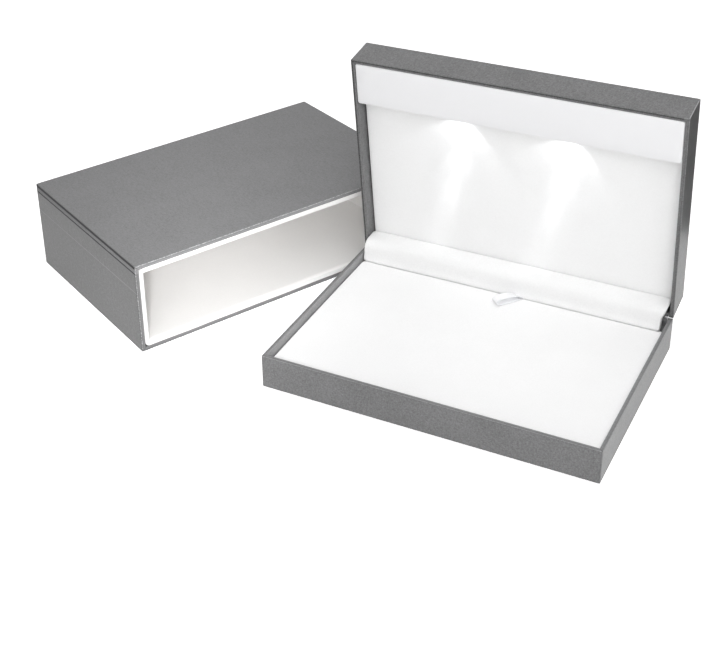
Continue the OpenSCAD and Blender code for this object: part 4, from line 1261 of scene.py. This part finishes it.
@dataclass
class Sleeve:
    """The open-fronted sleeve that the shut case slides into."""

    shop: Workshop
    width: float = 251.0
    depth: float = 157.0
    height: float = 69.9
    wall: float = 3.1
    lining: float = 3.6
    fold: float = 5.5
    paper: float = 0.35

    def build(self) -> None:
        """Makes and dresses every piece of the sleeve."""
        self.side_paper()
        self.top_paper()
        self.lining_panels()
        self.shop.dress(
            Greyboard("greyboard_sleeve", Seat.SLEEVE), "sleeve_bottom_board", "sleeve_top_board",
            "sleeve_left_board", "sleeve_right_board", "sleeve_back_board",
        )
        self.shop.dress(self.finish("grey_paper_base", 0.0), "sleeve_base_sheet")

    def finish(self, name: str, painted_tone_shift: float, *seams: Seam) -> CoveringPaper:
        """The covering paper in the sleeve's frame, with its tone painted lighter or darker for how light falls
        on that piece, and its lines at overlaps and edges.
        """
        middle = (self.width / 2, self.depth / 2, self.height / 2)
        # The sleeve's rim is painted lighter (painted light) and its rim's outer edge darker (painted shade).
        return CoveringPaper(
            name, Seat.SLEEVE, middle, middle, 1, -1.0, self.wall,
            rim_edge_shade=0.25, rim_painted_light=0.35, wear=0.9, painted_tone_shift=painted_tone_shift, seams=seams,
        )

    def side_paper(self) -> None:
        """Paper round the sides and the back, over the rim and back inside behind the lining."""
        form = Form(Seat.SLEEVE)
        mid_x, mid_z = self.width / 2, self.height / 2
        top = self.height - self.paper - self.fold - 0.12
        form.block((0, 0, self.paper), (self.width, self.depth, self.height - self.paper))
        front = form.face_towards((0, -1, 0))
        form.inset(front, self.wall - self.paper)
        form.extrude(front, (0, TURN_IN, 0))
        form.drop_faces(lambda p: p.y < TURN_IN + 1 and abs(p.x - mid_x) < 1 and abs(p.z - mid_z) < 1)
        form.bm.normal_update()
        form.bevel([e for e in form.corners(lambda p: True) if e.calc_length() > 60 and self._outside(e)], 0.5)
        form.bevel([e for e in form.corners(lambda p: abs(p.y) < 0.01) if not self._outside(e)], 0.3, 2)
        form.drop_faces(lambda p: p.z < self.paper + 0.01 and p.y > 0.6)
        form.slices(2, (top,))
        form.drop_faces(lambda p: p.z > top and not self._inside_rim(p))
        form.slices(0, spaced(2, self.width - 2, 16.0))
        form.slices(1, spaced(1, self.depth - 1, 16.0))
        form.slices(2, spaced(2, top, 16.0))
        form.merge()
        obj = form.piece("sleeve_side_paper")
        thicken(obj, 0.34)
        # The sides' paper is painted darker: painted shade.
        finish = self.finish(
            "grey_paper_sleeve_sides", -0.4, (2, top + 0.05, 0.9, 0.9), (2, self.height - 22.0, 0.4, -0.35),
            (1, 0.6, 0.4, 0.6), (1, self.depth - 1.0, 0.18, 0.4),
        )
        self.shop.fit(obj, finish, "sleeve", "grey_paper", "sleeve_side_wrap")

    def _outside(self, edge: bmesh.types.BMEdge) -> bool:
        """Whether an edge lies on the sleeve's outer corners."""
        mid = (edge.verts[0].co + edge.verts[1].co) / 2
        low, high = (0.0, 0.0, self.paper), (self.width, self.depth, self.height - self.paper)
        return sum(m < lo + 0.01 or m > hi - 0.01 for m, lo, hi in zip(mid, low, high)) >= 2

    def _inside_rim(self, point: Vector) -> bool:
        """Whether a face belongs to the rim's turn-in and not to the outer walls."""
        inset = self.wall - self.paper - 0.3
        across = inset < point.x < self.width - inset
        return across and point.y < TURN_IN + 0.1 and point.z < self.height - inset

    def top_paper(self) -> None:
        """Paper over the top, folded down all round onto the side paper."""
        form = Form(Seat.SLEEVE)
        low, rim = self.height - self.paper - self.fold, self.wall - self.paper
        form.block((0, 0, low), (self.width, self.depth, self.height))
        form.bm.normal_update()
        form.drop_faces(lambda p: p.z < low + 0.01)
        form.bevel([e for e in form.bm.edges if len(e.link_faces) == 2], 0.55, 4)
        form.slices(2, (self.height - rim,))
        form.slices(0, (rim, self.width - rim))
        form.drop_faces(lambda p: p.y < 0.05 and rim < p.x < self.width - rim and p.z < self.height - rim)
        form.slices(0, spaced(4, self.width - 4, 12.0))
        form.slices(1, spaced(2, self.depth - 2, 12.0))
        form.merge()
        obj = form.piece("sleeve_top_paper")
        thicken(obj, 0.34)
        # The top's paper is painted lighter: painted light.
        finish = self.finish(
            "grey_paper_sleeve_top", 0.32, (2, low + 0.1, 0.5, 0.85), (2, self.height - 3.4, 3.4, 0.14),
            # painted reflection: this dark band along the rounded top edge; the band before it faintly darkens
            # about the top 7 mm
            (2, self.height - 1.3, 1.5, 0.95),
        )
        self.shop.fit(obj, finish, "sleeve", "grey_paper", "sleeve_top_wrap")

    def lining_panels(self) -> None:
        """The five padded panels, with rounded edges at the opening."""
        w, d, h, a, t = self.width, self.depth, self.height, self.wall, self.lining
        back = d - self.wall + self.paper
        # painted light: the lining's cloth is a lighter copy of the white cloth
        cloth = NappedCloth(
            "white_cloth_sleeve", Seat.SLEEVE, tone(254, 253, 252), tone(246, 245, 244),
            # painted shade inside the opening
            grain=1.2, depth=0.07, mouth_shade=0.42,
        )
        for name, low, high, inward in (
            ("bottom", (a, 0, a), (w - a, back, a + t), (0, 0, 1)),
            ("top", (a, 0, h - a - t), (w - a, back, h - a), (0, 0, -1)),
            ("left", (a, 0, a + t), (a + t, back, h - a - t), (1, 0, 0)),
            ("right", (w - a - t, 0, a + t), (w - a, back, h - a - t), (-1, 0, 0)),
            ("back", (a + t, back - t, a + t), (w - a - t, back, h - a - t), (0, -1, 0)),
        ):
            form = Form(Seat.SLEEVE)
            form.block(low, high)
            form.bm.normal_update()
            if inward[2]:
                level = a if name == "bottom" else h - a
                long = form.edges_where(lambda p: abs(p.z - level) < 0.01)
                form.bevel([e for e in long if e.calc_length() < 200], 3.3, 5)
            if name != "back":
                form.bm.normal_update()
                mouth = form.edges_where(lambda p: p.y < 0.01)
                form.bevel([e for e in mouth if self._lip(e, bool(inward[2]))], 1.75, 5)
            for axis in range(3):
                if high[axis] - low[axis] > 12:
                    form.slices(axis, spaced(low[axis] + 3, high[axis] - 3, 8.0))
            form.move(lambda p: self._soft(p, Vector(inward)))
            obj = form.piece(f"lining_{name}", 50)
            self.shop.fit(obj, cloth, "sleeve", "white_cloth", f"liner_{name}")

    @staticmethod
    def _lip(edge: bmesh.types.BMEdge, level: bool) -> bool:
        """Whether an edge at the opening runs along the panel and not across its thickness."""
        way = edge.verts[1].co - edge.verts[0].co
        return abs(way[0 if level else 2]) > 20 or (level and way.length < 6 and abs(way.z) > 0.1)

    @staticmethod
    def _soft(point: Vector, inward: Vector) -> Vector:
        """A small unevenness of the padding, most along the opening's lip."""
        lip = 1 - ease(point.y / 14)
        push = noise.noise(Vector((point.x * 0.035, point.y * 0.02, point.z * 0.05)))
        return inward * (0.12 * push * (0.4 + lip)) + Vector((0, 0.1 * lip * push, 0))


# ---------------------------------------------------------------- studio


@dataclass(frozen=True)
class SoftLight:
    """A square soft light: the way it comes from in degrees, its watts, its distance and side in metres."""

    name: str
    bearing: float
    height: float
    power: float
    reach: float = 1.4
    side: float = 0.9

    def hang(self) -> None:
        """Hangs a square light over the middle of the object."""
        data = bpy.data.lights.new(self.name, "AREA")
        self.place(settle(data, shape="SQUARE", size=self.side, energy=self.power), Vector((-0.06, 0.04, 0.04)))

    def place(self, data: bpy.types.Light, aim: Vector) -> None:
        """Points a light at aim. Bearing 0 is in front, 90 to the right.

        Args:
            data: the light.
            aim: where it points, in metres.
        """
        bearing, height = math.radians(self.bearing), math.radians(self.height)
        flat = math.cos(height)
        way = Vector((math.sin(bearing) * flat, -math.cos(bearing) * flat, math.sin(height)))
        shine(placed(self.name, data), aim + way * self.reach, -way)


@dataclass(frozen=True)
class NarrowLight(SoftLight):
    """A soft spot with a narrow cone that reaches into the sleeve. aim is in metres, cone in degrees."""

    aim: Triple = (-0.243, 0.034, 0.01)
    cone: float = 11.2

    def hang(self) -> None:
        """Hangs the spot on the line through its aim."""
        data = settle(
            bpy.data.lights.new(self.name, "SPOT"), energy=self.power, spot_size=math.radians(self.cone),
            spot_blend=1.0, shadow_soft_size=self.side / 2,
        )
        self.place(data, Vector(self.aim))


SOFT_LIGHTS = (
    SoftLight("front_window", 20.0, 36.0, 8.7),
    SoftLight("high_window", 40.0, 58.0, 3.6),
    SoftLight("overhead", 0.0, 88.0, 10.0, 1.6, 1.5),
    NarrowLight("sleeve_fill", 31.0, 28.0, 50.0, 1.3, 0.12),
)


@dataclass
class Studio:
    """Floor, light and camera."""

    place: Triple = (0.2822, -0.7557, 0.5627)
    yaw: float = -28.36
    pitch: float = 28.74
    roll: float = -1.59
    lens: float = 69.43
    shift: tuple[float, float] = (0.0813, -0.161)
    ambient: float = 0.19
    lights: tuple[SoftLight, ...] = SOFT_LIGHTS

    def build(self) -> None:
        """Makes the floor, the light and the camera."""
        self.camera()
        self.floor()
        self.world()
        for light in self.lights:
            light.hang()
        scene = bpy.context.scene
        scene.view_settings.view_transform = "Standard"
        scene.cycles.diffuse_bounces = 8

    def camera(self) -> None:
        """The camera at the photograph's viewing angle."""
        yaw, pitch, roll = (math.radians(a) for a in (self.yaw, self.pitch, self.roll))
        flat = math.cos(pitch)
        forward = Vector((math.sin(yaw) * flat, math.cos(yaw) * flat, -math.sin(pitch)))
        level = Vector((math.cos(yaw), -math.sin(yaw), 0.0))
        above = level.cross(forward)
        right = level * math.cos(roll) + above * math.sin(roll)
        up = above * math.cos(roll) - level * math.sin(roll)
        data = settle(
            bpy.data.cameras.new("photo_camera"), lens=self.lens, sensor_width=36.0,
            sensor_fit="HORIZONTAL", shift_x=self.shift[0], shift_y=self.shift[1], clip_start=0.01,
        )
        obj = placed("photo_camera", data)
        axes = Matrix((right, up, -forward)).transposed().to_4x4()
        obj.matrix_world = Matrix.Translation(self.place) @ axes
        bpy.context.scene.camera = obj

    def floor(self) -> None:
        """A wide plain floor, and a dark card at the right that the case's right side mirrors."""
        form = Form(Seat.TRAY)
        bmesh.ops.create_grid(form.bm, x_segments=4, y_segments=4, size=6000.0)
        obj = form.piece("studio_floor")
        obj.data.materials.append(StudioFloor("studio_floor_paint").material())
        form = Form(Seat.TRAY)
        form.block((130, 250, 0.5), (1100, 1800, 1.5))
        card = settle(form.piece("dark_card"), visible_camera=False, visible_shadow=False)
        card.data.materials.append(DarkCard("dark_card_paper").material())

    def world(self) -> None:
        """White surroundings to the eye and in gloss; softer as a light."""
        world = bpy.data.worlds.new("studio_world")
        bpy.context.scene.world = world
        world.use_nodes = True
        graph = Graph(world.node_tree)
        strength = self.ambient + (1.0 - self.ambient) * graph.rays_that_show()
        sky = graph.add("ShaderNodeBackground", {}, {"Color": (1.0, 1.0, 1.0, 1.0), "Strength": strength})
        graph.end("ShaderNodeOutputWorld", sky)


def main() -> None:
    """Builds the studio, the case and the sleeve, and notes the sizes."""
    logging.basicConfig(level=logging.INFO, format="%(message)s")
    Studio().build()
    shop = Workshop()
    for part in (Tray, Lid, Sleeve):
        part(shop).build()
    LOG.info("%d pieces dressed", len(shop.made))


if __name__ == "__main__":
    main()
